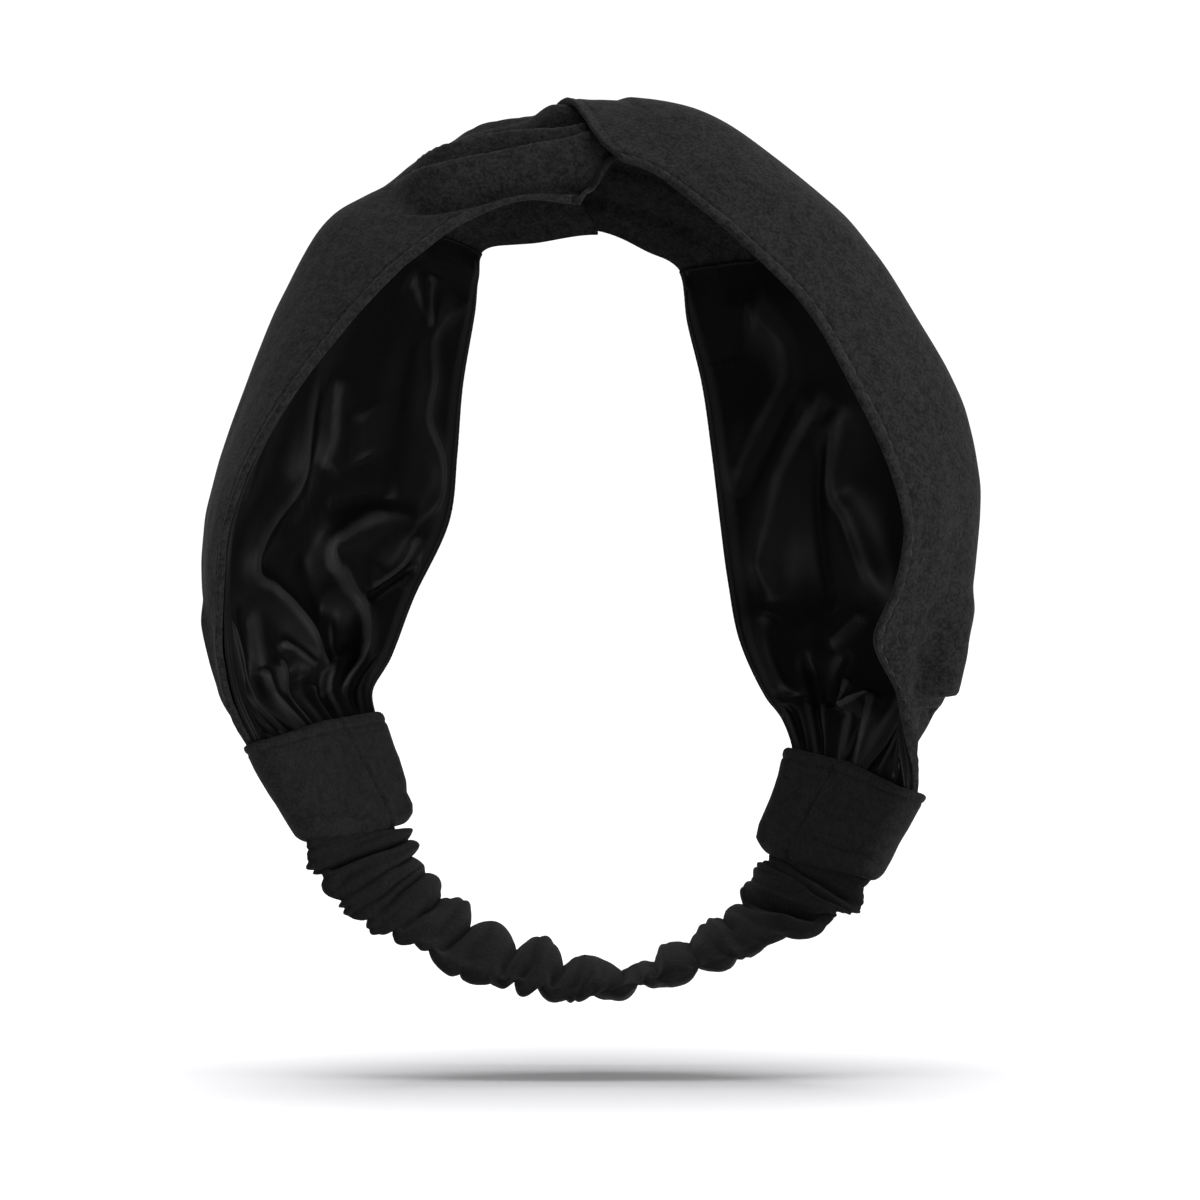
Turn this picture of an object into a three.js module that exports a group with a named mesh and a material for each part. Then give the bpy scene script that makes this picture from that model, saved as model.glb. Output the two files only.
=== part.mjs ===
// A knotted turban headwrap: two wide cloth strands that cross at the crown, each with a satin
// lining, run down to a flat sewn cuff, and a gathered elastic casing closes the loop at the nape.
// Millimetres, +Z up. The crown knot is at the top, the nape at the bottom, and +Y points to the
// back of the head. The origin is where the underside of the knot sits on the crown.
import * as THREE from 'three';

// Driving dimensions.
const HALF_WIDTH = 76; // from the middle out to the widest point of a side
const RING_HEIGHT = 176; // from the crown of the knot down to the nape
const BAND_DEPTH = 76; // front edge to back edge where a strand is widest
const CLOTH_WALL = 1.2;
const LINING_WALL = 1.0;
const LAYER_GAP = 0.4; // between the walls of a cuff and what it holds
const LINING_GAP = 0.6; // between a strand's cloth and its lining
const STRAND_RUN = 190; // length of a strand's flat pattern, knot to cuff
const FRONT_LEG = 28; // flat width from the front hem to the outermost line
const BACK_LEG = 68; // flat width from the outermost line to the back edge
const PUFF_HEIGHT = 4; // the tallest fold of the lining
const PLEAT_HEIGHT = 2; // the tallest pleat of the cloth
const ROLL_HEIGHT = 1.1; // extra thickness of the turned end of the upper strand
const ROLL_WIDTH = 4; // and how far it reaches back from that end
const CUFF_WALL = 1.2;
const CUFF_CAVITY = 5.0; // clear thickness inside a cuff
const EDGE_ROOM = 0.9; // between a cuff's rounded side and the edge of what it holds
const TUCK = 5; // how far strand and casing reach into a cuff
const CASING_THICKNESS = 6.0;
const RUCHE_HEIGHT = 2.4; // how far a ruche stands out of the casing
const RUCHE_COUNT = 17;

// Mesh fineness.
const RUN_STEPS = 28;
const ACROSS_STEPS = 22;
const LINING_RUN_STEPS = 22;
const LINING_ACROSS_STEPS = 18;
const CASING_STEPS = 60;
const CASING_SIDES = 14;
const CUFF_END_SIDES = 4;
const CUFF_FLAT_SIDES = 8;

// Stations of a strand from the knot to the mouth of its cuff. Each point is [out, up, back] as
// shares of HALF_WIDTH, RING_HEIGHT and BAND_DEPTH: hem is the front edge, crest the outermost
// line and rim the back edge. The last row is the mouth, where the strand lies flat.
const LEFT_STATIONS = [
  { hem: [0.139, 0.025, -0.211], crest: [0.154, 0.110, -0.026], rim: [0.130, 0.001, 0.184] },
  { hem: [-0.020, 0.023, -0.224], crest: [-0.064, 0.119, -0.039], rim: [0.005, 0.003, 0.190] },
  { hem: [-0.162, 0.027, -0.250], crest: [-0.230, 0.115, -0.053], rim: [-0.142, 0.001, 0.237] },
  { hem: [-0.314, 0.000, -0.303], crest: [-0.408, 0.080, -0.066], rim: [-0.280, -0.008, 0.316] },
  { hem: [-0.403, -0.028, -0.331], crest: [-0.510, 0.039, -0.072], rim: [-0.294, -0.037, 0.385] },
  { hem: [-0.489, -0.060, -0.355], crest: [-0.650, 0.015, -0.079], rim: [-0.305, -0.070, 0.447] },
  { hem: [-0.653, -0.143, -0.395], crest: [-0.770, -0.070, -0.092], rim: [-0.338, -0.160, 0.553] },
  { hem: [-0.800, -0.234, -0.408], crest: [-0.888, -0.208, -0.105], rim: [-0.357, -0.235, 0.592] },
  { hem: [-0.884, -0.319, -0.395], crest: [-0.950, -0.311, -0.132], rim: [-0.373, -0.311, 0.566] },
  { hem: [-0.909, -0.399, -0.342], crest: [-0.955, -0.393, -0.158], rim: [-0.464, -0.402, 0.474] },
  { hem: [-0.915, -0.469, -0.276], crest: [-0.935, -0.464, -0.140], rim: [-0.530, -0.473, 0.342] },
  { hem: [-0.892, -0.522, -0.237], crest: [-0.880, -0.512, -0.090], rim: [-0.569, -0.508, 0.237] },
  { hem: [-0.847, -0.570, -0.174], rim: [-0.563, -0.536, 0.160] },
];
const RIGHT_STATIONS = [
  { hem: [-0.037, 0.074, -0.260], crest: [-0.128, 0.141, -0.026], rim: [-0.211, 0.014, 0.330] },
  { hem: [0.126, 0.062, -0.270], crest: [0.026, 0.146, -0.039], rim: [0.026, 0.016, 0.290] },
  { hem: [0.275, 0.016, -0.303], crest: [0.255, 0.133, -0.053], rim: [0.157, -0.003, 0.289] },
  { hem: [0.414, -0.039, -0.342], crest: [0.449, 0.082, -0.066], rim: [0.240, -0.025, 0.355] },
  { hem: [0.534, -0.094, -0.368], crest: [0.632, 0.015, -0.079], rim: [0.258, -0.088, 0.447] },
  { hem: [0.644, -0.178, -0.395], crest: [0.805, -0.088, -0.092], rim: [0.294, -0.155, 0.526] },
  { hem: [0.723, -0.250, -0.408], crest: [0.925, -0.180, -0.105], rim: [0.325, -0.232, 0.579] },
  { hem: [0.773, -0.324, -0.395], crest: [0.973, -0.273, -0.118], rim: [0.347, -0.311, 0.592] },
  { hem: [0.754, -0.388, -0.355], crest: [0.962, -0.366, -0.132], rim: [0.362, -0.381, 0.553] },
  { hem: [0.704, -0.447, -0.316], crest: [0.938, -0.448, -0.145], rim: [0.397, -0.450, 0.447] },
  { hem: [0.760, -0.502, -0.263], crest: [0.902, -0.505, -0.138], rim: [0.461, -0.513, 0.316] },
  { hem: [0.790, -0.556, -0.224], crest: [0.785, -0.556, -0.110], rim: [0.510, -0.542, 0.237] },
  { hem: [0.818, -0.615, -0.174], rim: [0.534, -0.583, 0.160] },
];

// Where a strand's knot end is trimmed: run is the share of the pattern's length cut away at that
// share across it. The left strand tucks inside the right one, so the two slants make the knot.
const LEFT_TRIM = [
  { across: 0, run: 0.077 }, { across: 0.2, run: 0.036 }, { across: 0.37, run: 0.005 },
  { across: 0.5, run: 0 }, { across: 0.64, run: 0.028 }, { across: 0.82, run: 0.065 },
  { across: 1, run: 0.064 },
];
const RIGHT_TRIM = [
  { across: 0, run: 0.083 }, { across: 0.25, run: 0.062 }, { across: 0.5, run: 0.045 },
  { across: 0.65, run: 0.012 }, { across: 0.8, run: 0 }, { across: 1, run: 0.005 },
];
// Where the satin starts, below the self-cloth part of each strand.
const LEFT_LINING_START = 0.27;
const RIGHT_LINING_START = 0.26;

// Pleats of the cloth and puffs of the satin, each a ridge along a line of the flat pattern. A
// point of the line is [run, across], both as shares of the pattern; rise is a share of the
// tallest ridge and wide a share of BACK_LEG.
const LEFT_PLEATS = [
  { line: [[0.02, 0.62], [0.20, 0.62]], rise: 0.8, wide: 0.08 },
  { line: [[0.02, 0.38], [0.16, 0.33], [0.26, 0.42]], rise: 1.0, wide: 0.06 },
  { line: [[0.06, 0.20], [0.18, 0.21], [0.26, 0.28]], rise: 0.7, wide: 0.06 },
  { line: [[0.09, 0.00], [0.20, 0.03], [0.30, 0.08]], rise: 0.7, wide: 0.06 },
  { line: [[0.78, 0.24], [0.92, 0.25]], rise: 0.6, wide: 0.07 },
  { line: [[0.80, 0.56], [0.92, 0.54]], rise: 0.6, wide: 0.08 },
  { line: [[0.79, 0.80], [0.92, 0.78]], rise: 0.6, wide: 0.08 },
];
const RIGHT_PLEATS = [
  { line: [[0.06, 0.70], [0.26, 0.66]], rise: 0.6, wide: 0.08 },
  { line: [[0.18, 0.24], [0.34, 0.37]], rise: 0.4, wide: 0.07 },
  { line: [[0.68, 0.40], [0.77, 0.43]], rise: 1.4, wide: 0.10 },
  { line: [[0.82, 0.16], [0.93, 0.22]], rise: 0.6, wide: 0.07 },
  { line: [[0.82, 0.62], [0.93, 0.60]], rise: 0.6, wide: 0.08 },
  { line: [[0.80, 0.84], [0.93, 0.82]], rise: 0.6, wide: 0.07 },
];
const LEFT_PUFFS = [
  { line: [[0.53, 0.64], [0.60, 0.65], [0.66, 0.59], [0.74, 0.77], [0.79, 0.81]], rise: 0.7, wide: 0.1 },
  { line: [[0.40, 0.92], [0.44, 0.89], [0.57, 0.95], [0.66, 0.93]], rise: 0.8, wide: 0.09 },
  { line: [[0.62, 0.88], [0.64, 0.77], [0.70, 0.86], [0.83, 0.88]], rise: 1.0, wide: 0.09 },
  { line: [[0.80, 0.65], [0.89, 0.62]], rise: 0.6, wide: 0.08 },
];
const RIGHT_PUFFS = [
  { line: [[0.35, 0.81], [0.40, 0.80], [0.46, 0.90], [0.52, 0.95]], rise: 0.8, wide: 0.09 },
  { line: [[0.45, 0.74], [0.48, 0.83], [0.56, 0.90], [0.60, 0.92]], rise: 0.8, wide: 0.08 },
  { line: [[0.45, 0.72], [0.52, 0.76], [0.57, 0.75], [0.62, 0.71]], rise: 1.0, wide: 0.09 },
  { line: [[0.68, 0.76], [0.71, 0.83], [0.73, 0.93]], rise: 0.7, wide: 0.09 },
  { line: [[0.81, 0.77], [0.77, 0.70], [0.86, 0.67], [0.90, 0.65]], rise: 0.8, wide: 0.08 },
];

// The casing's two edges from one cuff's foot to the other, in the same shares.
const CASING_STATIONS = [
  { front: [-0.719, -0.660, -0.145], back: [-0.505, -0.664, 0.145] },
  { front: [-0.645, -0.714, -0.158], back: [-0.457, -0.683, 0.158] },
  { front: [-0.565, -0.754, -0.165], back: [-0.427, -0.706, 0.165] },
  { front: [-0.399, -0.795, -0.178], back: [-0.331, -0.757, 0.178] },
  { front: [-0.200, -0.822, -0.185], back: [-0.182, -0.798, 0.185] },
  { front: [-0.001, -0.834, -0.187], back: [0.001, -0.820, 0.187] },
  { front: [0.191, -0.818, -0.188], back: [0.186, -0.808, 0.188] },
  { front: [0.376, -0.794, -0.184], back: [0.345, -0.768, 0.184] },
  { front: [0.566, -0.762, -0.166], back: [0.437, -0.713, 0.166] },
  { front: [0.718, -0.710, -0.125], back: [0.467, -0.685, 0.125] },
];

const scaled = ([out, up, back]) =>
  new THREE.Vector3(out * HALF_WIDTH, back * BAND_DEPTH, up * RING_HEIGHT);
const MIDDLE = new THREE.Vector3(0, 0, -0.38 * RING_HEIGHT);
const mix = (a, b, share) => a + (b - a) * share;
const smooth = (x) => {
  const s = THREE.MathUtils.clamp(x, 0, 1);
  return s * s * (3 - 2 * s);
};

// A value read off a table of rows by its first key, with straight lines between the rows.
function readTable(rows, key, value, at) {
  const next = rows.findIndex((row) => row[key] >= at);
  if (next <= 0) return rows[next === 0 ? 0 : rows.length - 1][value];
  const [a, b] = [rows[next - 1], rows[next]];
  return mix(a[value], b[value], (at - a[key]) / (b[key] - a[key]));
}

// Flat pattern position, in millimetres, of a point at these shares along and across.
const patternPoint = (run, across) =>
  new THREE.Vector2(
    run * STRAND_RUN,
    across < 0.5 ? across * 2 * FRONT_LEG : FRONT_LEG + (across - 0.5) * 2 * BACK_LEG,
  );

// Height of the highest ridge at a point of the pattern, as a share of the tallest.
function ridgeRise(ridges, run, across) {
  const p = patternPoint(run, across);
  const away = (a, b) => {
    const span = b.clone().sub(a);
    const along = THREE.MathUtils.clamp(p.clone().sub(a).dot(span) / span.lengthSq(), 0, 1);
    return p.distanceTo(a.clone().addScaledVector(span, along));
  };
  return ridges.reduce((high, { line, rise, wide }) => {
    const points = line.map((point) => patternPoint(...point));
    const near = Math.min(...points.slice(1).map((b, k) => away(points[k], b)));
    return Math.max(high, rise * Math.exp(-((near / (wide * BACK_LEG)) ** 2)));
  }, 0);
}

// Each row of edges as a middle point and half the width between the edges.
const rowFrame = (first, second) => {
  const [a, b] = [scaled(first), scaled(second)];
  return { centre: a.clone().add(b).multiplyScalar(0.5), half: b.sub(a).multiplyScalar(0.5) };
};

// The cuff of one side: its mouth holds the strand's end and its foot holds the casing's end.
function cuffFrame(mouthRow, footRow) {
  const mouth = rowFrame(mouthRow.hem, mouthRow.rim);
  const foot = rowFrame(footRow.front, footRow.back);
  const axis = foot.centre.clone().sub(mouth.centre);
  const length = axis.length();
  axis.normalize();
  // A point on the middle of the cavity: down is a share of the length, wide goes from -1 to 1.
  const at = (down, wide) =>
    mouth.centre.clone().lerp(foot.centre, down)
      .addScaledVector(mouth.half.clone().lerp(foot.half, down), wide);
  return { axis, length, at };
}

// A strand's surface: the inner face of its cloth, before pleats. Its rails end inside the cuff.
function strandSurface(stations, cuff) {
  const hemShare = FRONT_LEG / (FRONT_LEG + BACK_LEG);
  const rows = stations.slice(0, -1).map(({ hem, crest, rim }) => [hem, crest, rim].map(scaled));
  for (const down of [0, TUCK / cuff.length]) {
    rows.push([cuff.at(down, -1), cuff.at(down, 2 * hemShare - 1), cuff.at(down, 1)]);
  }
  const rails = [0, 1, 2].map((k) => new THREE.CatmullRomCurve3(rows.map((row) => row[k])));
  const swell = (a, b, share) => {
    const span = b.clone().sub(a);
    const out = new THREE.Vector3().copy(a).add(b).multiplyScalar(0.5).sub(MIDDLE).setY(0);
    out.addScaledVector(span, -out.dot(span) / span.lengthSq()).normalize();
    return a.clone().addScaledVector(span, 0.5).addScaledVector(out, share * span.length());
  };
  return (run, across) => {
    const [hem, crest, rim] = rails.map((rail) => rail.getPoint(run));
    const full = 1 - smooth((run - 0.75) / 0.15);
    const section = new THREE.CatmullRomCurve3([
      hem, swell(hem, crest, 0.08 * full), crest, swell(crest, rim, 0.07 * full), rim,
    ]);
    return section.getPoint(across);
  };
}

// Outward normal of a surface; side is 1 on the right strand and -1 on the left.
function outward(surface, run, across, side) {
  const step = 0.004;
  const [r0, r1] = [Math.max(run - step, 0), Math.min(run + step, 1)];
  const [a0, a1] = [Math.max(across - step, 0), Math.min(across + step, 1)];
  const along = surface(r1, across).sub(surface(r0, across));
  const over = surface(run, a1).sub(surface(run, a0));
  return along.cross(over).multiplyScalar(side).normalize();
}

// A closed sheet from two grids of points, the outer and the inner face.
function sheetGeometry(outer, inner, side) {
  const [rows, cols] = [outer.length, outer[0].length];
  const points = [...outer.flat(), ...inner.flat()];
  const faces = [];
  const quad = (a, b, c, d) => faces.push(...(side > 0 ? [a, b, c, a, c, d] : [a, c, b, a, d, c]));
  const id = (i, j, layer) => layer * rows * cols + i * cols + j;
  for (let i = 0; i + 1 < rows; i++) {
    for (let j = 0; j + 1 < cols; j++) {
      quad(id(i, j, 0), id(i + 1, j, 0), id(i + 1, j + 1, 0), id(i, j + 1, 0));
      quad(id(i, j, 1), id(i, j + 1, 1), id(i + 1, j + 1, 1), id(i + 1, j, 1));
    }
    quad(id(i, 0, 0), id(i, 0, 1), id(i + 1, 0, 1), id(i + 1, 0, 0));
    quad(id(i, cols - 1, 0), id(i + 1, cols - 1, 0), id(i + 1, cols - 1, 1), id(i, cols - 1, 1));
  }
  for (let j = 0; j + 1 < cols; j++) {
    quad(id(0, j, 0), id(0, j + 1, 0), id(0, j + 1, 1), id(0, j, 1));
    quad(id(rows - 1, j, 0), id(rows - 1, j, 1), id(rows - 1, j + 1, 1), id(rows - 1, j + 1, 0));
  }
  return new THREE.BufferGeometry()
    .setAttribute('position', new THREE.Float32BufferAttribute(points.flatMap((p) => p.toArray()), 3))
    .setIndex(faces);
}

// A closed tube through rings of points; a hollow one has inner rings too.
function tubeGeometry(rings, innerRings) {
  const sides = rings[0].length;
  const points = [...rings.flat(), ...(innerRings ?? []).flat()];
  const faces = [];
  const id = (i, j, layer = 0) => layer * rings.length * sides + i * sides + (j % sides);
  const quad = (a, b, c, d) => faces.push(a, b, c, a, c, d);
  const last = rings.length - 1;
  for (let j = 0; j < sides; j++) {
    for (let i = 0; i < last; i++) {
      quad(id(i, j), id(i, j + 1), id(i + 1, j + 1), id(i + 1, j));
      if (innerRings) quad(id(i, j, 1), id(i + 1, j, 1), id(i + 1, j + 1, 1), id(i, j + 1, 1));
    }
    if (innerRings) {
      quad(id(0, j), id(0, j, 1), id(0, j + 1, 1), id(0, j + 1));
      quad(id(last, j), id(last, j + 1), id(last, j + 1, 1), id(last, j, 1));
    }
  }
  if (!innerRings) {
    for (let j = 1; j + 1 < sides; j++) {
      faces.push(id(0, 0), id(0, j + 1), id(0, j));
      faces.push(id(last, 0), id(last, j), id(last, j + 1));
    }
  }
  return new THREE.BufferGeometry()
    .setAttribute('position', new THREE.Float32BufferAttribute(points.flatMap((p) => p.toArray()), 3))
    .setIndex(faces);
}

// The cloth of one strand: pleated at the knot and the cuff, with its turned end thickened.
function strandCloth({ surface, side, trim, pleats, rolled }) {
  const face = (lift) =>
    Array.from({ length: RUN_STEPS + 1 }, (_, i) =>
      Array.from({ length: ACROSS_STEPS + 1 }, (__, j) => {
        const across = j / ACROSS_STEPS;
        const cut = readTable(trim, 'across', 'run', across);
        const run = mix(cut, 1, i / RUN_STEPS);
        const fromEnd = ((run - cut) * STRAND_RUN) / ROLL_WIDTH;
        const roll = rolled && lift ? ROLL_HEIGHT * Math.exp(-fromEnd * fromEnd) : 0;
        const rise = pleatRise(pleats, run, across) + lift + roll;
        return surface(run, across).addScaledVector(outward(surface, run, across, side), rise);
      }),
    );
  return sheetGeometry(face(CLOTH_WALL), face(0), side);
}

// Pleats lie flat where the other strand covers them and inside the cuff.
function pleatRise(pleats, run, across) {
  const free = smooth((run - 0.02) / 0.07) * (1 - 0.8 * smooth((run - 0.84) / 0.07));
  return PLEAT_HEIGHT * free * ridgeRise(pleats, run, across);
}

// The satin inside a strand, held at its edges and puffed between them.
function strandLining({ surface, side, pleats, puffs, start }) {
  const face = (depth) =>
    Array.from({ length: LINING_RUN_STEPS + 1 }, (_, i) =>
      Array.from({ length: LINING_ACROSS_STEPS + 1 }, (__, j) => {
        const run = mix(start, 1, i / LINING_RUN_STEPS);
        const across = mix(0.012, 0.988, j / LINING_ACROSS_STEPS);
        const held = smooth(Math.min(run - start, 0.91 - run) / 0.06)
          * smooth(Math.min(across, 1 - across) / 0.1);
        const puff = PUFF_HEIGHT * held * ridgeRise(puffs, run, across);
        const sink = pleatRise(pleats, run, across) - LINING_GAP - puff - depth;
        return surface(run, across).addScaledVector(outward(surface, run, across, side), sink);
      }),
    );
  return sheetGeometry(face(0), face(LINING_WALL), side);
}

// A ring round a cuff: flat on both faces with round ends. Grow is the wall outside the cavity.
function cuffRing(cuff, down, grow) {
  const middle = cuff.at(down, 0);
  const wide = cuff.at(down, 1).sub(middle);
  const flat = wide.length() + EDGE_ROOM - CUFF_CAVITY / 2;
  wide.normalize();
  const thick = cuff.axis.clone().cross(wide).normalize();
  const round = CUFF_CAVITY / 2 + grow;
  const ring = [];
  for (const end of [1, -1]) {
    for (let k = 0; k <= CUFF_END_SIDES; k++) {
      const turn = Math.PI * (k / CUFF_END_SIDES - 0.5);
      ring.push([end * (flat + round * Math.cos(turn)), end * round * Math.sin(turn)]);
    }
    for (let k = 1; k < CUFF_FLAT_SIDES; k++) {
      ring.push([end * flat * (1 - (2 * k) / CUFF_FLAT_SIDES), end * round]);
    }
  }
  return ring.map(([w, t]) =>
    middle.clone().addScaledVector(wide, w).addScaledVector(thick, t));
}

function cuffGeometry(cuff) {
  const levels = [0, 0.25, 0.5, 0.75, 1];
  return tubeGeometry(
    levels.map((down) => cuffRing(cuff, down, CUFF_WALL)),
    levels.map((down) => cuffRing(cuff, down, 0)),
  );
}

// The gathered casing: a flattened tube whose cloth stands out in ruches between the two cuffs.
function casingGeometry(leftCuff, rightCuff) {
  const tuckedRow = (cuff) => {
    const down = 1 - TUCK / cuff.length;
    return { centre: cuff.at(down, 0), half: cuff.at(down, 1).sub(cuff.at(down, 0)) };
  };
  const rows = CASING_STATIONS.map(({ front, back }) => rowFrame(front, back));
  rows.unshift(tuckedRow(leftCuff));
  rows.push(tuckedRow(rightCuff));
  const path = new THREE.CatmullRomCurve3(rows.map((row) => row.centre));
  const width = new THREE.CatmullRomCurve3(rows.map((row) => row.half));
  const rings = Array.from({ length: CASING_STEPS + 1 }, (_, i) => {
    const share = i / CASING_STEPS;
    const centre = path.getPoint(share);
    const half = width.getPoint(share);
    const wide = half.clone().normalize();
    const thick = path.getTangent(share).cross(wide).normalize();
    const free = smooth((Math.min(share, 1 - share) * (rows.length - 1) - 1) / 0.7);
    return Array.from({ length: CASING_SIDES }, (__, k) => {
      const turn = (2 * Math.PI * k) / CASING_SIDES;
      const phase = 2 * Math.PI * RUCHE_COUNT * share + 1.6 * Math.sin(turn) + 2.3 * Math.cos(2 * turn);
      const swell = RUCHE_HEIGHT * free * (0.6 * Math.sin(phase) + 0.4 * Math.sin(1.7 * phase + 1));
      const halfThick = mix(CUFF_CAVITY / 2 - LAYER_GAP, CASING_THICKNESS / 2, free) + swell * 0.6;
      return centre.clone()
        .addScaledVector(wide, (half.length() - LAYER_GAP + swell * 0.8) * Math.cos(turn))
        .addScaledVector(thick, halfThick * Math.sin(turn));
    });
  });
  return tubeGeometry(rings);
}

function named(name, geometry, material) {
  const mesh = new THREE.Mesh(geometry, material);
  geometry.computeVertexNormals();
  mesh.name = name;
  return mesh;
}

const cloth = new THREE.MeshStandardMaterial({ color: 0x232323, roughness: 0.92, metalness: 0 });
const satin = new THREE.MeshStandardMaterial({ color: 0x0d0d0d, roughness: 0.38, metalness: 0 });
const casing = new THREE.MeshStandardMaterial({ color: 0x1c1c1c, roughness: 0.9, metalness: 0 });

const leftCuff = cuffFrame(LEFT_STATIONS.at(-1), CASING_STATIONS[0]);
const rightCuff = cuffFrame(RIGHT_STATIONS.at(-1), CASING_STATIONS.at(-1));
const left = {
  surface: strandSurface(LEFT_STATIONS, leftCuff), side: -1, trim: LEFT_TRIM,
  pleats: LEFT_PLEATS, puffs: LEFT_PUFFS, start: LEFT_LINING_START, rolled: false,
};
const right = {
  surface: strandSurface(RIGHT_STATIONS, rightCuff), side: 1, trim: RIGHT_TRIM,
  pleats: RIGHT_PLEATS, puffs: RIGHT_PUFFS, start: RIGHT_LINING_START, rolled: true,
};

const headwrap = new THREE.Group();
headwrap.add(
  named('left_strand', strandCloth(left), cloth),
  named('right_strand', strandCloth(right), cloth),
  named('left_lining', strandLining(left), satin),
  named('right_lining', strandLining(right), satin),
  named('left_cuff', cuffGeometry(leftCuff), cloth),
  named('right_cuff', cuffGeometry(rightCuff), cloth),
  named('elastic_casing', casingGeometry(leftCuff, rightCuff), casing),
);

export default headwrap;
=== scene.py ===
import math

import bpy
import numpy as np
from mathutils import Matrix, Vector


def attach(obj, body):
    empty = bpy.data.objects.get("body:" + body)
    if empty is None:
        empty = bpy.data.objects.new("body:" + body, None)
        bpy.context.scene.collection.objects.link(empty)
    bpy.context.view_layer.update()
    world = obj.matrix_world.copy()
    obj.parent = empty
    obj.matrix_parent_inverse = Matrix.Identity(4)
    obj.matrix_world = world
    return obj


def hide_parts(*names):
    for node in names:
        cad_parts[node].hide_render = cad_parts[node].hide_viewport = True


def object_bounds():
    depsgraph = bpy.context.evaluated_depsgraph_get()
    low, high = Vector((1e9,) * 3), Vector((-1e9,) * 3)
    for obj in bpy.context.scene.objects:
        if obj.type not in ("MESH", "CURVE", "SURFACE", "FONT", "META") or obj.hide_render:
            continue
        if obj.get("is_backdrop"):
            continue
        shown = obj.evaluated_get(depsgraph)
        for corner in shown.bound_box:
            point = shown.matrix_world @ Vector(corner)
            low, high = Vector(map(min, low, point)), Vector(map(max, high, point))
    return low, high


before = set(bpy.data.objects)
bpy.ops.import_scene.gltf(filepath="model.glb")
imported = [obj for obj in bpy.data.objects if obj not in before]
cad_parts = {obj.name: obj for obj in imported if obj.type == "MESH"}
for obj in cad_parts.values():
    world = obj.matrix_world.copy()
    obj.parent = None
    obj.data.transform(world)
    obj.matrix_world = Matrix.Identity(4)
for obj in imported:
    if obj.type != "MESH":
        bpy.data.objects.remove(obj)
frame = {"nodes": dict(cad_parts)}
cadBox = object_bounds()
print("frame loaded:", ", ".join(frame["nodes"]))

# Sizes are worked out in millimetres, the solids' own unit, and become metres in the meshes.
mm = 0.001

wrap = {
    "halfWidth": 76.0,      # from the middle out to the widest point of a side
    "ringHeight": 176.0,    # crown to nape
    "bandDepth": 76.0,      # front edge to back edge
    "clothWall": 1.2,
    "liningWall": 0.8,
    "strandRun": 190.0,     # flat pattern of a strand, knot to cuff
    "frontLeg": 28.0,       # hem to the outermost line
    "backLeg": 68.0,        # outermost line to the back edge
    "liningGap": 0.35,
    "cuffCavity": 5.0,
    "cuffWall": 1.2,
    "tuck": 5.0,            # how far strand and casing reach into a cuff
}

# Rows of a strand from the knot to the cuff's mouth: out, up and back as shares of the sizes above,
# for the front hem, the outermost line and the back edge.
leftRows = [
    ((0.139, 0.025, -0.211), (0.154, 0.110, -0.026), (0.130, 0.001, 0.184)),
    ((-0.020, 0.023, -0.224), (-0.064, 0.116, -0.039), (0.005, 0.006, 0.190)),
    ((-0.162, 0.027, -0.250), (-0.228, 0.111, -0.053), (-0.142, -0.002, 0.237)),
    ((-0.314, 0.000, -0.303), (-0.408, 0.080, -0.066), (-0.280, -0.008, 0.316)),
    ((-0.403, -0.028, -0.331), (-0.518, 0.045, -0.072), (-0.299, -0.037, 0.385)),
    ((-0.489, -0.060, -0.355), (-0.646, 0.013, -0.079), (-0.308, -0.070, 0.447)),
    ((-0.653, -0.143, -0.395), (-0.763, -0.071, -0.092), (-0.346, -0.160, 0.553)),
    ((-0.800, -0.234, -0.408), (-0.884, -0.209, -0.105), (-0.360, -0.235, 0.592)),
    ((-0.884, -0.319, -0.395), (-0.945, -0.311, -0.132), (-0.378, -0.311, 0.566)),
    ((-0.909, -0.399, -0.342), (-0.959, -0.393, -0.158), (-0.470, -0.401, 0.474)),
    ((-0.915, -0.469, -0.276), (-0.923, -0.462, -0.140), (-0.528, -0.473, 0.342)),
    ((-0.892, -0.522, -0.237), (-0.887, -0.514, -0.090), (-0.569, -0.508, 0.237)),
]
leftMouth = ((-0.847, -0.570, -0.174), (-0.563, -0.536, 0.160))
rightRows = [
    ((-0.037, 0.074, -0.260), (-0.128, 0.141, -0.026), (-0.211, 0.014, 0.330)),
    ((0.126, 0.062, -0.270), (0.026, 0.146, -0.039), (0.026, 0.013, 0.290)),
    ((0.275, 0.016, -0.303), (0.255, 0.133, -0.053), (0.150, -0.010, 0.289)),
    ((0.414, -0.039, -0.342), (0.448, 0.082, -0.066), (0.233, -0.028, 0.355)),
    ((0.534, -0.094, -0.368), (0.632, 0.015, -0.079), (0.260, -0.088, 0.447)),
    ((0.644, -0.178, -0.395), (0.805, -0.088, -0.092), (0.299, -0.155, 0.526)),
    ((0.723, -0.250, -0.408), (0.925, -0.180, -0.105), (0.325, -0.232, 0.579)),
    ((0.773, -0.324, -0.395), (0.973, -0.273, -0.118), (0.347, -0.311, 0.592)),
    ((0.754, -0.388, -0.355), (0.962, -0.366, -0.132), (0.367, -0.381, 0.553)),
    ((0.704, -0.447, -0.316), (0.926, -0.447, -0.145), (0.394, -0.450, 0.447)),
    ((0.760, -0.502, -0.263), (0.889, -0.502, -0.138), (0.458, -0.514, 0.316)),
    ((0.790, -0.556, -0.224), (0.815, -0.556, -0.110), (0.508, -0.543, 0.237)),
]
rightMouth = ((0.818, -0.615, -0.174), (0.534, -0.583, 0.160))
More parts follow.
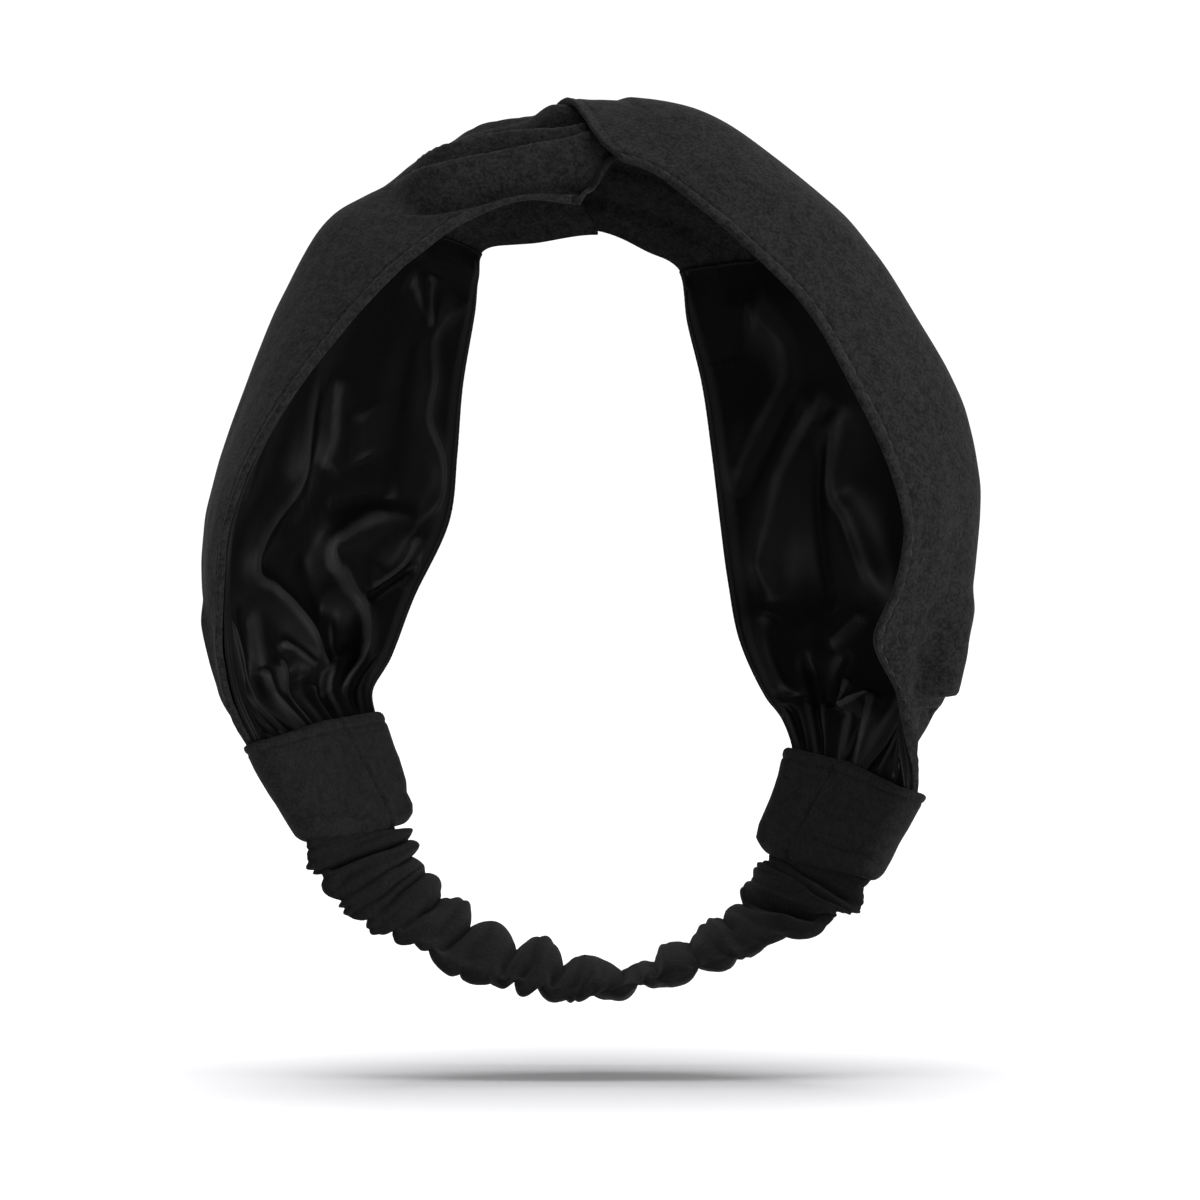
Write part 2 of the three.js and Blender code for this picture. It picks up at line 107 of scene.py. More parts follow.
# The casing's front and back edges from the left cuff's foot to the right one's.
casingRows = [
    ((-0.719, -0.660, -0.145), (-0.505, -0.664, 0.145)),
    ((-0.645, -0.714, -0.158), (-0.457, -0.683, 0.158)),
    ((-0.565, -0.754, -0.165), (-0.427, -0.706, 0.165)),
    ((-0.399, -0.795, -0.178), (-0.331, -0.757, 0.178)),
    ((-0.200, -0.822, -0.185), (-0.182, -0.798, 0.185)),
    ((-0.001, -0.834, -0.187), (0.001, -0.820, 0.187)),
    ((0.191, -0.818, -0.188), (0.186, -0.808, 0.188)),
    ((0.376, -0.794, -0.184), (0.345, -0.768, 0.184)),
    ((0.566, -0.762, -0.166), (0.437, -0.713, 0.166)),
    ((0.718, -0.710, -0.125), (0.467, -0.685, 0.125)),
]


def placed(point):
    out, up, back = point
    return np.array((out * wrap["halfWidth"], back * wrap["bandDepth"], up * wrap["ringHeight"]))


def smooth(x):
    s = np.clip(x, 0.0, 1.0)
    return s * s * (3 - 2 * s)


def blendOf(a, b, share):
    return a + (b - a) * share


def unit(v):
    return v / np.maximum(np.linalg.norm(v, axis=-1, keepdims=True), 1e-9)


# A smooth curve through control points, one set of them for each value of t.
def curveAt(controls, t):
    n = controls.shape[-2]
    controls = np.broadcast_to(controls, t.shape + controls.shape[-2:])
    first = 2 * controls[..., :1, :] - controls[..., 1:2, :]
    last = 2 * controls[..., -1:, :] - controls[..., -2:-1, :]
    padded = np.concatenate((first, controls, last), axis=-2)
    s = np.clip(t, 0, 1) * (n - 1)
    i = np.minimum(np.floor(s).astype(int), n - 2)
    w = (s - i)[..., None]
    take = lambda k: np.take_along_axis(padded, (i + k)[..., None, None], axis=-2)[..., 0, :]
    p0, p1, p2, p3 = (take(k) for k in range(4))
    gap = lambda a, b: np.maximum(np.sum((a - b) ** 2, axis=-1, keepdims=True) ** 0.25, 1e-4)
    d0, d1, d2 = gap(p0, p1), gap(p1, p2), gap(p2, p3)
    m1 = ((p1 - p0) / d0 - (p2 - p0) / (d0 + d1) + (p2 - p1) / d1) * d1
    m2 = ((p2 - p1) / d1 - (p3 - p1) / (d1 + d2) + (p3 - p2) / d2) * d1
    return (p1 + m1 * w + (3 * (p2 - p1) - 2 * m1 - m2) * w ** 2
            + (2 * (p1 - p2) + m1 + m2) * w ** 3)


# Seeded value noise from -1 to 1, one cell to a unit of x and y.
def grain(x, y, seed):
    table = np.random.default_rng(seed).uniform(-1, 1, (64, 64))
    xi, yi = np.floor(x).astype(int), np.floor(y).astype(int)
    fx, fy = smooth(x - xi), smooth(y - yi)
    at = lambda a, b: table[a % 64, b % 64]
    low = blendOf(at(xi, yi), at(xi + 1, yi), fx)
    high = blendOf(at(xi, yi + 1), at(xi + 1, yi + 1), fx)
    return blendOf(low, high, fy)


# Bumps of an uneven cloth. Their shape is how high, how long and how wide, in millimetres.
def bumps(shape, x, y, seed):
    rise, long, wide = shape
    return rise * grain(x / long, y / wide, seed)


# The cuff's own frame: down is a share of its length, wide goes from -1 to 1 across it.
class Cuff:
    def __init__(self, mouth, foot):
        a, b = (placed(p) for p in mouth)
        c, d = (placed(p) for p in foot)
        self.mouthMid, self.mouthHalf = (a + b) / 2, (b - a) / 2
        self.footMid, self.footHalf = (c + d) / 2, (d - c) / 2
        self.length = np.linalg.norm(self.footMid - self.mouthMid)
        self.axis = (self.footMid - self.mouthMid) / self.length

    def at(self, down, wide):
        down, wide = np.asarray(down, float)[..., None], np.asarray(wide, float)[..., None]
        middle = blendOf(self.mouthMid, self.footMid, down)
        return middle + blendOf(self.mouthHalf, self.footHalf, down) * wide


leftCuff = Cuff(leftMouth, casingRows[0])
rightCuff = Cuff(rightMouth, casingRows[-1])
middle = np.array((0.0, 0.0, -0.38 * wrap["ringHeight"]))  # of the ring's opening
# A strand's sides swell out by shares of their width. Where the swelling and the folds begin and
# end is given in shares of its run, and foldsHeld is how far the cuff holds the folds down.
strandShape = {"frontSwell": 0.08, "backSwell": 0.07, "swellTo": 0.75, "swellFade": 0.15,
               "foldsFrom": 0.02, "foldsGrow": 0.05, "foldsTo": 0.86, "foldsSink": 0.07,
               "foldsHeld": 0.75, "normalStep": 0.004}


# The inner face of a strand's cloth before its folds, and which way is out.
class Strand:
    def __init__(self, rows, cuff, side):
        self.side = side
        points = [[placed(p) for p in row] for row in rows]
        hemShare = wrap["frontLeg"] / (wrap["frontLeg"] + wrap["backLeg"])
        for down in (0.0, wrap["tuck"] / cuff.length):
            points.append([cuff.at(down, w) for w in (-1, 2 * hemShare - 1, 1)])
        self.rails = [np.array([row[k] for row in points]) for k in range(3)]

    def point(self, run, across):
        hem, crest, rim = (curveAt(rail, run) for rail in self.rails)
        shape = strandShape
        full = 1 - smooth((run - shape["swellTo"]) / shape["swellFade"])

        def swell(a, b, share):
            span = b - a
            out = ((a + b) / 2 - middle) * np.array((1.0, 0.0, 1.0))
            long = np.sum(span ** 2, axis=-1, keepdims=True)
            out = unit(out - span * np.sum(out * span, axis=-1, keepdims=True) / long)
            return (a + b) / 2 + out * np.sqrt(long) * (share * full)[..., None]

        front, back = swell(hem, crest, shape["frontSwell"]), swell(crest, rim, shape["backSwell"])
        return curveAt(np.stack((hem, front, crest, back, rim), axis=-2), across)

    def outward(self, run, across):
        step = strandShape["normalStep"]
        along = (self.point(np.minimum(run + step, 1), across)
                 - self.point(np.maximum(run - step, 0), across))
        over = (self.point(run, np.minimum(across + step, 1))
                - self.point(run, np.maximum(across - step, 0)))
        return unit(np.cross(along, over)) * self.side


leftStrand = Strand(leftRows, leftCuff, -1)
rightStrand = Strand(rightRows, rightCuff, 1)


# Millimetres on the flat pattern.
def patternOf(run, across):
    x = run * wrap["strandRun"]
    front = across * 2 * wrap["frontLeg"]
    back = wrap["frontLeg"] + (across - 0.5) * 2 * wrap["backLeg"]
    return x, np.where(across < 0.5, front, back)


# A fold follows a line of points given as run and across. It rises that many millimetres, or
# sinks if rise is below 0. Near and far are how many it takes to fall away on its two sides, so
# that a pleat can be steep on one. Its ends die away over the shares fadeIn and fadeOut.
def foldAlong(rise, near, far, *line, fadeIn=0.2, fadeOut=0.2):
    return {"rise": rise, "near": near, "far": far, "line": line, "fadeIn": fadeIn,
            "fadeOut": fadeOut}


# How high the folds stand at points of the pattern. The higher sharp is, the less folds that
# meet add up. With tails they fall away slowly.
def foldHeights(folds, run, across, sharp=3.0, tails=False):
    x, y = patternOf(run, across)
    here = np.stack((x, y), axis=-1)
    raised, sunk = np.zeros(x.shape), np.zeros(x.shape)
    for fold in folds:
        line = np.array([patternOf(*map(np.asarray, p)) for p in fold["line"]], float)
        line = curveAt(line, np.linspace(0, 1, 6 * (len(line) - 1) + 1))
        best = np.full(x.shape, 1e9)
        signed, where = np.zeros(x.shape), np.zeros(x.shape)
        for k in range(len(line) - 1):
            span = line[k + 1] - line[k]
            t = np.clip(((here - line[k]) @ span) / (span @ span), 0, 1)
            off = here - line[k] - t[..., None] * span
            d = np.hypot(off[..., 0], off[..., 1])
            closer = d < best
            turn = np.sign(span[0] * off[..., 1] - span[1] * off[..., 0])
            best = np.where(closer, d, best)
            signed = np.where(closer, turn, signed)
            where = np.where(closer, (k + t) / (len(line) - 1), where)
        reach = np.where(signed > 0, fold["far"], fold["near"])
        ends = smooth(where / fold["fadeIn"] + 0.25) * smooth((1 - where) / fold["fadeOut"] + 0.25)
        fall = 1 / (1 + (best / (0.75 * reach)) ** 2) if tails else np.exp(-(best / reach) ** 2)
        height = abs(fold["rise"]) * ends * fall
        if fold["rise"] > 0:
            raised += height ** sharp
        else:
            sunk += height ** sharp
    return raised ** (1 / sharp) - sunk ** (1 / sharp)


# How high a face cloth stands. Its folds are held down at the knot and, mostly, at the cuff.
def clothHeights(folds, run, across):
    shape = strandShape
    free = smooth((run - shape["foldsFrom"]) / shape["foldsGrow"]) \
        * (1 - shape["foldsHeld"] * smooth((run - shape["foldsTo"]) / shape["foldsSink"]))
    return foldHeights(folds, run, across) * free


# Closed sheet from an outer and an inner grid that share their border points.
def sheetObject(name, outer, inner, side, material):
    rows, cols = outer.shape[:2]
    ids = np.arange(rows * cols).reshape(rows, cols)
    under = ids + rows * cols
    under[0, :], under[-1, :], under[:, 0], under[:, -1] = ids[0], ids[-1], ids[:, 0], ids[:, -1]
    quads = lambda g: np.stack((g[:-1, :-1], g[1:, :-1], g[1:, 1:], g[:-1, 1:]), -1).reshape(-1, 4)
    faces = np.concatenate((quads(ids), quads(under)[:, ::-1]))
    if side < 0:
        faces = faces[:, ::-1]
    points = np.concatenate((outer.reshape(-1, 3), inner.reshape(-1, 3))) * mm
    used, faces = np.unique(faces, return_inverse=True)
    return meshObject(name, points[used], faces.reshape(-1, 4), material)


def meshObject(name, points, faces, material):
    mesh = bpy.data.meshes.new(name)
    mesh.from_pydata([tuple(p) for p in points], [], [tuple(int(i) for i in f) for f in faces])
    mesh.shade_smooth()
    mesh.materials.append(material)
    mesh.update()
    piece = bpy.data.objects.new(name, mesh)
    bpy.context.scene.collection.objects.link(piece)
    return piece


# Closed tube through rings of points, with its ends closed or, for a sleeve, turned inside.
def tubeObject(name, rings, material, inside=None):
    count, sides = rings.shape[:2]
    points = rings.reshape(-1, 3)
    ids = np.arange(count * sides).reshape(count, sides)
    belt = lambda g, h: np.stack((g, np.roll(g, -1), np.roll(h, -1), h), -1)
    faces = [belt(ids[i], ids[i + 1]) for i in range(count - 1)]
    if inside is None:
        points = np.concatenate((points, [rings[0].mean(0), rings[-1].mean(0)]))
        first, last = len(points) - 2, len(points) - 1
        caps = [(first, int(b), int(a)) for a, b in zip(ids[0], np.roll(ids[0], -1))]
        caps += [(last, int(a), int(b)) for a, b in zip(ids[-1], np.roll(ids[-1], -1))]
    else:
        inner = np.arange(inside.shape[0] * sides).reshape(-1, sides) + len(points)
        points = np.concatenate((points, inside.reshape(-1, 3)))
        faces += [belt(inner[i + 1], inner[i]) for i in range(len(inner) - 1)]
        faces += [belt(inner[0], ids[0]), belt(ids[-1], inner[-1])]
        caps = []
    quads = [tuple(int(k) for k in f[::-1]) for f in np.concatenate(faces)]
    return meshObject(name, points * mm, quads + [c[::-1] for c in caps], material)


# One socket of a node tree, so that shader maths reads as plain expressions.
class Wire:
    def __init__(self, board, socket):
        self.board, self.socket = board, socket

    def maths(self, operation, a, b):
        return self.board.node("ShaderNodeMath", {"operation": operation}, {0: a, 1: b})

    def __add__(self, other):
        return self.maths("ADD", self, other)

    def __sub__(self, other):
        return self.maths("SUBTRACT", self, other)

    def __rsub__(self, other):
        return self.maths("SUBTRACT", other, self)

    def __mul__(self, other):
        return self.maths("MULTIPLY", self, other)

    __radd__, __rmul__ = __add__, __mul__


class ShaderBoard:
    def __init__(self, name, tree=None):
        if tree is None:
            self.material = bpy.data.materials.new(name)
            self.material.use_nodes = True
            tree = self.material.node_tree
        self.tree = tree
        self.tree.nodes.clear()

    def node(self, kind, settings=None, inputs=None, output=0):
        new = self.tree.nodes.new(kind)
        for key, value in (settings or {}).items():
            setattr(new, key, value)
        for key, value in (inputs or {}).items():
            if isinstance(value, Wire):
                self.tree.links.new(value.socket, new.inputs[key])
            else:
                new.inputs[key].default_value = value
        return Wire(self, new.outputs[output])

    # inputs 6 and 7 and output 2 are the node's colours
    def mixColour(self, factor, a, b):
        return self.node("ShaderNodeMix", {"data_type": "RGBA"}, {0: factor, 6: a, 7: b}, 2)

    # Eases between the two values of to while value goes from low to high.
    def ramp(self, value, low, high, to=(0.0, 1.0)):
        return self.node("ShaderNodeMapRange", {"interpolation_type": "SMOOTHSTEP"},
                         {0: value, 1: low, 2: high, 3: to[0], 4: to[1]})

    def noise(self, place, scale, detail):
        return self.node("ShaderNodeTexNoise", {"noise_dimensions": "3D"},
                         {"Vector": place, "Scale": scale, "Detail": detail})

    def scaled(self, vector, by):
        return self.node("ShaderNodeVectorMath", {"operation": "MULTIPLY"}, {0: vector, 1: by})

    def surface(self, inputs):
        self.finish(self.node("ShaderNodeBsdfPrincipled", None, inputs))
        return self.material

    def finish(self, shader, kind="ShaderNodeOutputMaterial"):
        end = self.tree.nodes.new(kind)
        self.tree.links.new(shader.socket, end.inputs["Surface"])


# A grey with a trace of blue.
def grey(level):
    return (level, level, level * 1.02, 1.0)


# Matt crepe: dull, a little furry, mottled by its uneven threads.
def mattCloth(name, look):
    board = ShaderBoard(name)
    place = board.node("ShaderNodeTexCoord", None, None, "Object")
    threads = board.noise(place, look["threadScale"], 2.0)
    patches = board.noise(place, look["patchScale"], 3.0)
    blotch = board.ramp(threads * 0.6 + patches * 0.4, *look["mottle"])
    colour = board.mixColour(blotch, grey(look["dark"]), grey(look["pale"]))
    bump = board.node("ShaderNodeBump", None, {
        "Strength": look["bump"], "Distance": look["bumpHigh"],
        "Height": threads * 0.8 + patches * 0.6})
    return board.surface({
        "Base Color": colour, "Roughness": look["rough"], "Normal": bump,
        "Specular IOR Level": look["specular"], "Sheen Weight": look["sheen"],
        "Sheen Roughness": look["sheenRough"], "Sheen Tint": grey(0.5),
    })


# Satin: smooth and dark, with a soft shine that breaks up a little along its threads, and a highlight
# painted paler along its crests.
def satinCloth(name, look):
    board = ShaderBoard(name)
    place = board.node("ShaderNodeTexCoord", None, None, "Object")
    streaks = board.noise(board.scaled(place, look["streak"]), 1.0, 3.0)
    weave = board.noise(place, look["weaveScale"], 1.0)
    bump = board.node("ShaderNodeBump", None, {
        "Strength": look["bump"], "Distance": look["bumpHigh"],
        "Height": streaks * 0.5 + weave * 0.5})
    colour = board.mixColour(streaks, grey(look["dark"]), grey(look["pale"]))
    # painted highlight: the crests of the folds are painted paler, where the shine would catch the
    # light
    creased = board.node("ShaderNodeNewGeometry", None, None, "Pointiness")
    paintedHighlight = board.ramp(creased, look["highlightFrom"], look["highlightTo"])
    uneven = board.noise(place, look["highlightScale"], 1.0) * 1.8 - 0.2
    colour = board.mixColour(paintedHighlight * uneven, colour, grey(look["paintedHighlight"]))
    return board.surface({
        "Base Color": colour, "Roughness": look["underRough"], "Normal": bump,
        "Specular IOR Level": 0.0, "Coat Weight": look["shine"],
        "Coat Roughness": look["rough"], "Coat IOR": look["shineIor"],
    })


faceLook = {"dark": 0.0014, "pale": 0.0098, "threadScale": 1700.0, "patchScale": 560.0,
            "mottle": (0.33, 0.67), "bump": 0.6, "bumpHigh": 0.0004, "rough": 0.92,
            "specular": 0.12, "sheen": 0.03, "sheenRough": 0.45}
# The cuffs and the gathered casing are the face's crepe painted darker: painted shade, in darker
# copies of one cloth.
cuffShadedLook = dict(faceLook, dark=0.0018, pale=0.0060)
casingShadedLook = dict(faceLook, dark=0.0008, pale=0.0030)
# paintedHighlight is the paler colour painted on the satin's crests as a highlight; highlightFrom and
# highlightTo set how sharp a crest must be for it, highlightScale the size of its breaks.
satinLook = {"dark": 0.0007, "pale": 0.0016, "rough": 0.40, "underRough": 0.7, "shine": 0.050,
             "shineIor": 1.7, "bump": 0.10, "bumpHigh": 0.0003,
             "streak": (900.0, 900.0, 160.0), "weaveScale": 2600.0,
             "highlightFrom": 0.501, "highlightTo": 0.530, "paintedHighlight": 0.0105, "highlightScale": 120.0}
faceCloth = mattCloth("matt crepe", faceLook)
cuffCloth = mattCloth("cuff crepe", cuffShadedLook)
casingCloth = mattCloth("gathered crepe", casingShadedLook)
satin = satinCloth("black satin", satinLook)
threadLook = {"level": 0.007, "rough": 0.6, "specular": 0.4}
thread = ShaderBoard("sewing thread").surface({
    "Base Color": grey(threadLook["level"]), "Roughness": threadLook["rough"],
    "Specular IOR Level": threadLook["specular"],
})
print("materials made")


# Knot ends are trimmed on the slant: at this share across, this share of the run is cut away.
leftTrim = ((0, 0.079), (0.07, 0.067), (0.16, 0.049), (0.25, 0.033), (0.37, 0.005), (0.5, 0),
            (0.6, 0.030), (0.7, 0.088), (0.8, 0.090), (0.88, 0.083), (0.945, 0.070), (1, 0.068))
rightTrim = ((0, 0.055), (0.1, 0.038), (0.2, 0.033), (0.36, 0.034), (0.5, 0.032), (0.58, 0.020),
             (0.68, 0.004), (0.8, 0.002), (0.95, 0.010), (1, 0.030))

leftClothFolds = [
    foldAlong(1.3, 5, 1.3, (0.02, 0.62), (0.12, 0.6), (0.22, 0.58)),
    foldAlong(1.2, 6, 1.5, (0.02, 0.78), (0.12, 0.75), (0.24, 0.73)),
    foldAlong(1.4, 1.4, 1.6, (0.02, 0.54), (0.09, 0.52), (0.142, 0.5), (0.2, 0.52), fadeIn=0.05),
    foldAlong(3.4, 3.0, 4.0, (0.0, 0.5), (0.05, 0.495), (0.085, 0.49), (0.12, 0.485), fadeIn=0.02,
              fadeOut=0.4),
    foldAlong(-3.0, 1.0, 1.8, (0.02, 0.465), (0.083, 0.415), (0.125, 0.392), (0.167, 0.39),
              (0.21, 0.42), fadeIn=0.05),
    foldAlong(2.8, 4.5, 0.8, (0.02, 0.425), (0.05, 0.4), (0.083, 0.355), (0.125, 0.335),
              (0.167, 0.337), (0.204, 0.36), (0.26, 0.43), fadeIn=0.05),
    foldAlong(4.1, 5.6, 0.7, (0.02, 0.37), (0.05, 0.335), (0.079, 0.28), (0.125, 0.225),
              (0.167, 0.2), (0.204, 0.22), (0.242, 0.27), (0.29, 0.4), fadeIn=0.05),
    foldAlong(-3.4, 1.8, 3.6, (0.03, 0.17), (0.1, 0.085), (0.18, 0.07), (0.24, 0.12), (0.31, 0.24)),
    foldAlong(0.9, 7, 7, (0.32, 0.66), (0.5, 0.7), (0.7, 0.67)),
    foldAlong(0.8, 6, 6, (0.36, 0.84), (0.55, 0.87), (0.74, 0.85)),
    foldAlong(1.2, 4, 3, (0.7, 0.3), (0.8, 0.27), (0.92, 0.25)),
    foldAlong(1.9, 5, 2.4, (0.7, 0.6), (0.82, 0.57), (0.94, 0.54)),
    foldAlong(1.9, 4.5, 2.4, (0.68, 0.8), (0.8, 0.8), (0.94, 0.77)),
    foldAlong(1.3, 3, 2, (0.76, 0.93), (0.94, 0.89)),
    foldAlong(0.9, 3, 3, (0.8, 0.42), (0.93, 0.4)),
    foldAlong(1.5, 3, 2, (0.77, 0.7), (0.94, 0.66)),
]
rightClothFolds = [
    foldAlong(1.1, 4, 2.2, (0.0, 0.62), (0.12, 0.63), (0.28, 0.6)),
    foldAlong(1.2, 5, 2.4, (0.0, 0.76), (0.12, 0.775), (0.3, 0.74)),
    foldAlong(0.9, 4, 2.2, (0.0, 0.89), (0.1, 0.9), (0.26, 0.88)),
    foldAlong(0.9, 7, 7, (0.36, 0.64), (0.52, 0.67), (0.7, 0.65)),
    foldAlong(0.8, 6, 6, (0.38, 0.83), (0.56, 0.86), (0.74, 0.83)),
    foldAlong(-1.1, 7, 7, (0.02, 0.5), (0.06, 0.5), (0.1, 0.51)),
    foldAlong(0.7, 4, 5, (0.18, 0.24), (0.34, 0.37)),
    foldAlong(2.9, 6, 6, (0.64, 0.36), (0.72, 0.41), (0.775, 0.43), fadeOut=0.12),
    foldAlong(-2.2, 4.0, 4.5, (0.66, 0.34), (0.72, 0.27), (0.785, 0.21)),
    foldAlong(-1.8, 2.5, 1.3, (0.8, 0.26), (0.8, 0.5)),
    foldAlong(0.5, 2, 3, (0.655, 0.28), (0.675, 0.38)),
    foldAlong(0.8, 1.6, 1.2, (0.76, 0.03), (0.8, 0.05), (0.92, 0.03)),
    foldAlong(1.2, 4, 3, (0.82, 0.16), (0.93, 0.22)),
    foldAlong(1.9, 5, 2.4, (0.74, 0.6), (0.94, 0.59)),
    foldAlong(1.9, 4.5, 2.4, (0.7, 0.85), (0.82, 0.85), (0.94, 0.82)),
    foldAlong(1.5, 3, 2, (0.78, 0.72), (0.94, 0.7)),
    foldAlong(1.2, 3, 2, (0.8, 0.94), (0.94, 0.92)),
]
hemLook = {"stitchIn": 2.2, "thicker": 0.18, "groove": 0.38, "grooveWide": 0.38, "pucker": 0.06,
           "puckerPitch": 3.1, "puckerWide": 1.5, "step": 0.7}
clothBumps = {"broad": (0.22, 13, 9), "fine": (0.10, 4.5, 3.5)}
# How a knot end is finished, in millimetres: a roll along the edge with a groove behind it.
leftEnd = {"roll": 0.7, "rollWide": 0.9, "twist": 0.3, "groove": 1.2, "grooveAt": 2.2,
           "grooveWide": 0.8}
rightEnd = {"roll": 0.22, "rollWide": 0.9, "twist": 0.0, "groove": 0.15, "grooveAt": 2.6,
            "grooveWide": 0.5}
twistPitch = 1.7  # of the roll
clothGrid = {"rows": 300, "cols": 150, "edge": 0.7}


# Shares from 0 to 1 that crowd together at both ends, where a rounded edge needs them.
def crowded(count, edgeShare):
    ends = edgeShare * (1 - np.cos(np.linspace(0, math.pi / 2, 5)))
    even = np.linspace(0, 1, count - 8)
    even = even - 0.5 * np.sin(2 * math.pi * even) / (2 * math.pi)
    inner = blendOf(edgeShare, 1 - edgeShare, even)
    return np.concatenate((ends[:-1], inner, 1 - ends[:-1][::-1]))


# How far a sheet's wall has opened behind its rounded edge: 0 at the border, 1 inside.
def opened(edge, fromEnds, fromSides):
    near = np.minimum(np.clip(fromEnds / edge, 0, 1), np.clip(fromSides / edge, 0, 1))
    return np.sqrt(1 - (1 - near) ** 2)


# The closed sheet between two heights over a strand.
def sheetOver(name, strand, run, across, high, low, material):
    normal = strand.outward(run, across)
    base = strand.point(run, across)
    outer, inner = (base + normal * height[..., None] for height in (high, low))
    return sheetObject(name, outer, inner, strand.side, material)


def strandCloth(name, strand, trim, folds, end, seed):
    total = wrap["frontLeg"] + wrap["backLeg"]
    rowShares = crowded(clothGrid["rows"], clothGrid["edge"] / wrap["strandRun"])
    colShares = crowded(clothGrid["cols"], clothGrid["edge"] / (2 * wrap["backLeg"]))
    across = np.broadcast_to(colShares, (len(rowShares), len(colShares)))
    cut = np.interp(across, *zip(*trim))
    run = blendOf(cut, 1.0, rowShares[:, None])
    x, y = patternOf(run, across)
    fromEnds = np.minimum(run - cut, 1 - run) * wrap["strandRun"]
    fromSides = np.minimum(y, total - y)
    lift = clothHeights(folds, run, across)
    lift += bumps(clothBumps["broad"], x, y, seed) * smooth(fromSides / 8)
    lift += bumps(clothBumps["fine"], x, y, seed + 1)
    # the hem: turned in, so a little thicker, with a stitched groove that puckers it
    hem = hemLook
    flat = smooth((hem["stitchIn"] + 0.5 - y) / hem["step"])
    groove = np.exp(-((y - hem["stitchIn"]) / hem["grooveWide"]) ** 2)
    ripple = np.cos(2 * math.pi * x / hem["puckerPitch"] + 2 * grain(x / 9, y * 0, seed + 2))
    outside = hem["thicker"] * flat - hem["groove"] * groove \
        + hem["pucker"] * ripple * np.exp(-((y - hem["stitchIn"]) / hem["puckerWide"]) ** 2)
    back = (run - cut) * wrap["strandRun"]
    twist = 1 + end["twist"] * np.cos(2 * math.pi * (y - back) / twistPitch)
    outside += end["roll"] * twist * np.exp(-(back / end["rollWide"]) ** 2)
    outside -= end["groove"] * np.exp(-((back - end["grooveAt"]) / end["grooveWide"]) ** 2)
    wall = opened(clothGrid["edge"], fromEnds, fromSides)
    half = wrap["clothWall"] / 2
    return sheetOver(name, strand, run, across, lift + half + (half + outside) * wall,
                     lift + half - half * wall, faceCloth)


leftCloth = strandCloth("leftFaceCloth", leftStrand, leftTrim, leftClothFolds, leftEnd, 11)
rightCloth = strandCloth("rightFaceCloth", rightStrand, rightTrim, rightClothFolds, rightEnd, 23)
print("face cloth made")

leftSatinFolds = [
    foldAlong(3.4, 5, 4, (0.5, 0.645), (0.56, 0.66), (0.59, 0.66), (0.62, 0.62), (0.64, 0.6),
              (0.66, 0.59), (0.68, 0.6), (0.69, 0.64), (0.713, 0.693), (0.763, 0.775), (0.8, 0.805),
              (0.86, 0.8)),
    foldAlong(1.6, 1.5, 5, (0.5, 0.69), (0.55, 0.72), (0.58, 0.71)),
    foldAlong(-1.4, 1.5, 1.5, (0.51, 0.68), (0.55, 0.695), (0.6, 0.69), (0.64, 0.65)),
    foldAlong(1.3, 5, 5, (0.52, 0.76), (0.57, 0.79)),
    foldAlong(-1.3, 2.2, 2.2, (0.615, 0.75), (0.605, 0.8), (0.6, 0.88)),
    foldAlong(1.2, 3, 3, (0.4, 0.77), (0.43, 0.875)),
    foldAlong(1.2, 2.5, 2.5, (0.38, 0.83), (0.41, 0.85), (0.43, 0.88)),
    foldAlong(1.6, 2.4, 2.4, (0.38, 0.95), (0.43, 0.885), (0.47, 0.905), (0.51, 0.91), (0.54, 0.94),
              (0.57, 0.955), (0.6, 0.95), (0.63, 0.92)),
    foldAlong(-2.0, 1.8, 1.4, (0.66, 0.96), (0.68, 0.92), (0.7, 0.88)),
    foldAlong(1.4, 2, 2, (0.63, 0.93), (0.665, 0.925), (0.69, 0.88)),
    foldAlong(3.2, 2.8, 4.5, (0.62, 0.92), (0.62, 0.84), (0.635, 0.78), (0.645, 0.76), (0.66, 0.77),
              (0.68, 0.82), (0.71, 0.87), (0.75, 0.89), (0.81, 0.885), (0.88, 0.85)),
    foldAlong(-1.5, 4, 4, (0.645, 0.71), (0.68, 0.755), (0.72, 0.83), (0.77, 0.85)),
    foldAlong(1.5, 2.5, 2.5, (0.753, 0.657), (0.765, 0.71), (0.797, 0.77)),
    foldAlong(1.8, 3, 2.5, (0.79, 0.6), (0.84, 0.605), (0.93, 0.6)),
    foldAlong(1.8, 3, 2.5, (0.77, 0.66), (0.82, 0.665), (0.87, 0.66), (0.93, 0.63)),
    foldAlong(1.3, 3, 3, (0.83, 0.77), (0.93, 0.74)),
    foldAlong(0.9, 5, 5, (0.42, 0.6), (0.52, 0.55), (0.62, 0.53)),
    foldAlong(1.4, 4, 4, (0.6, 0.3), (0.72, 0.34), (0.84, 0.3)),
    foldAlong(1.2, 3, 4, (0.72, 0.46), (0.82, 0.48), (0.92, 0.47)),
]
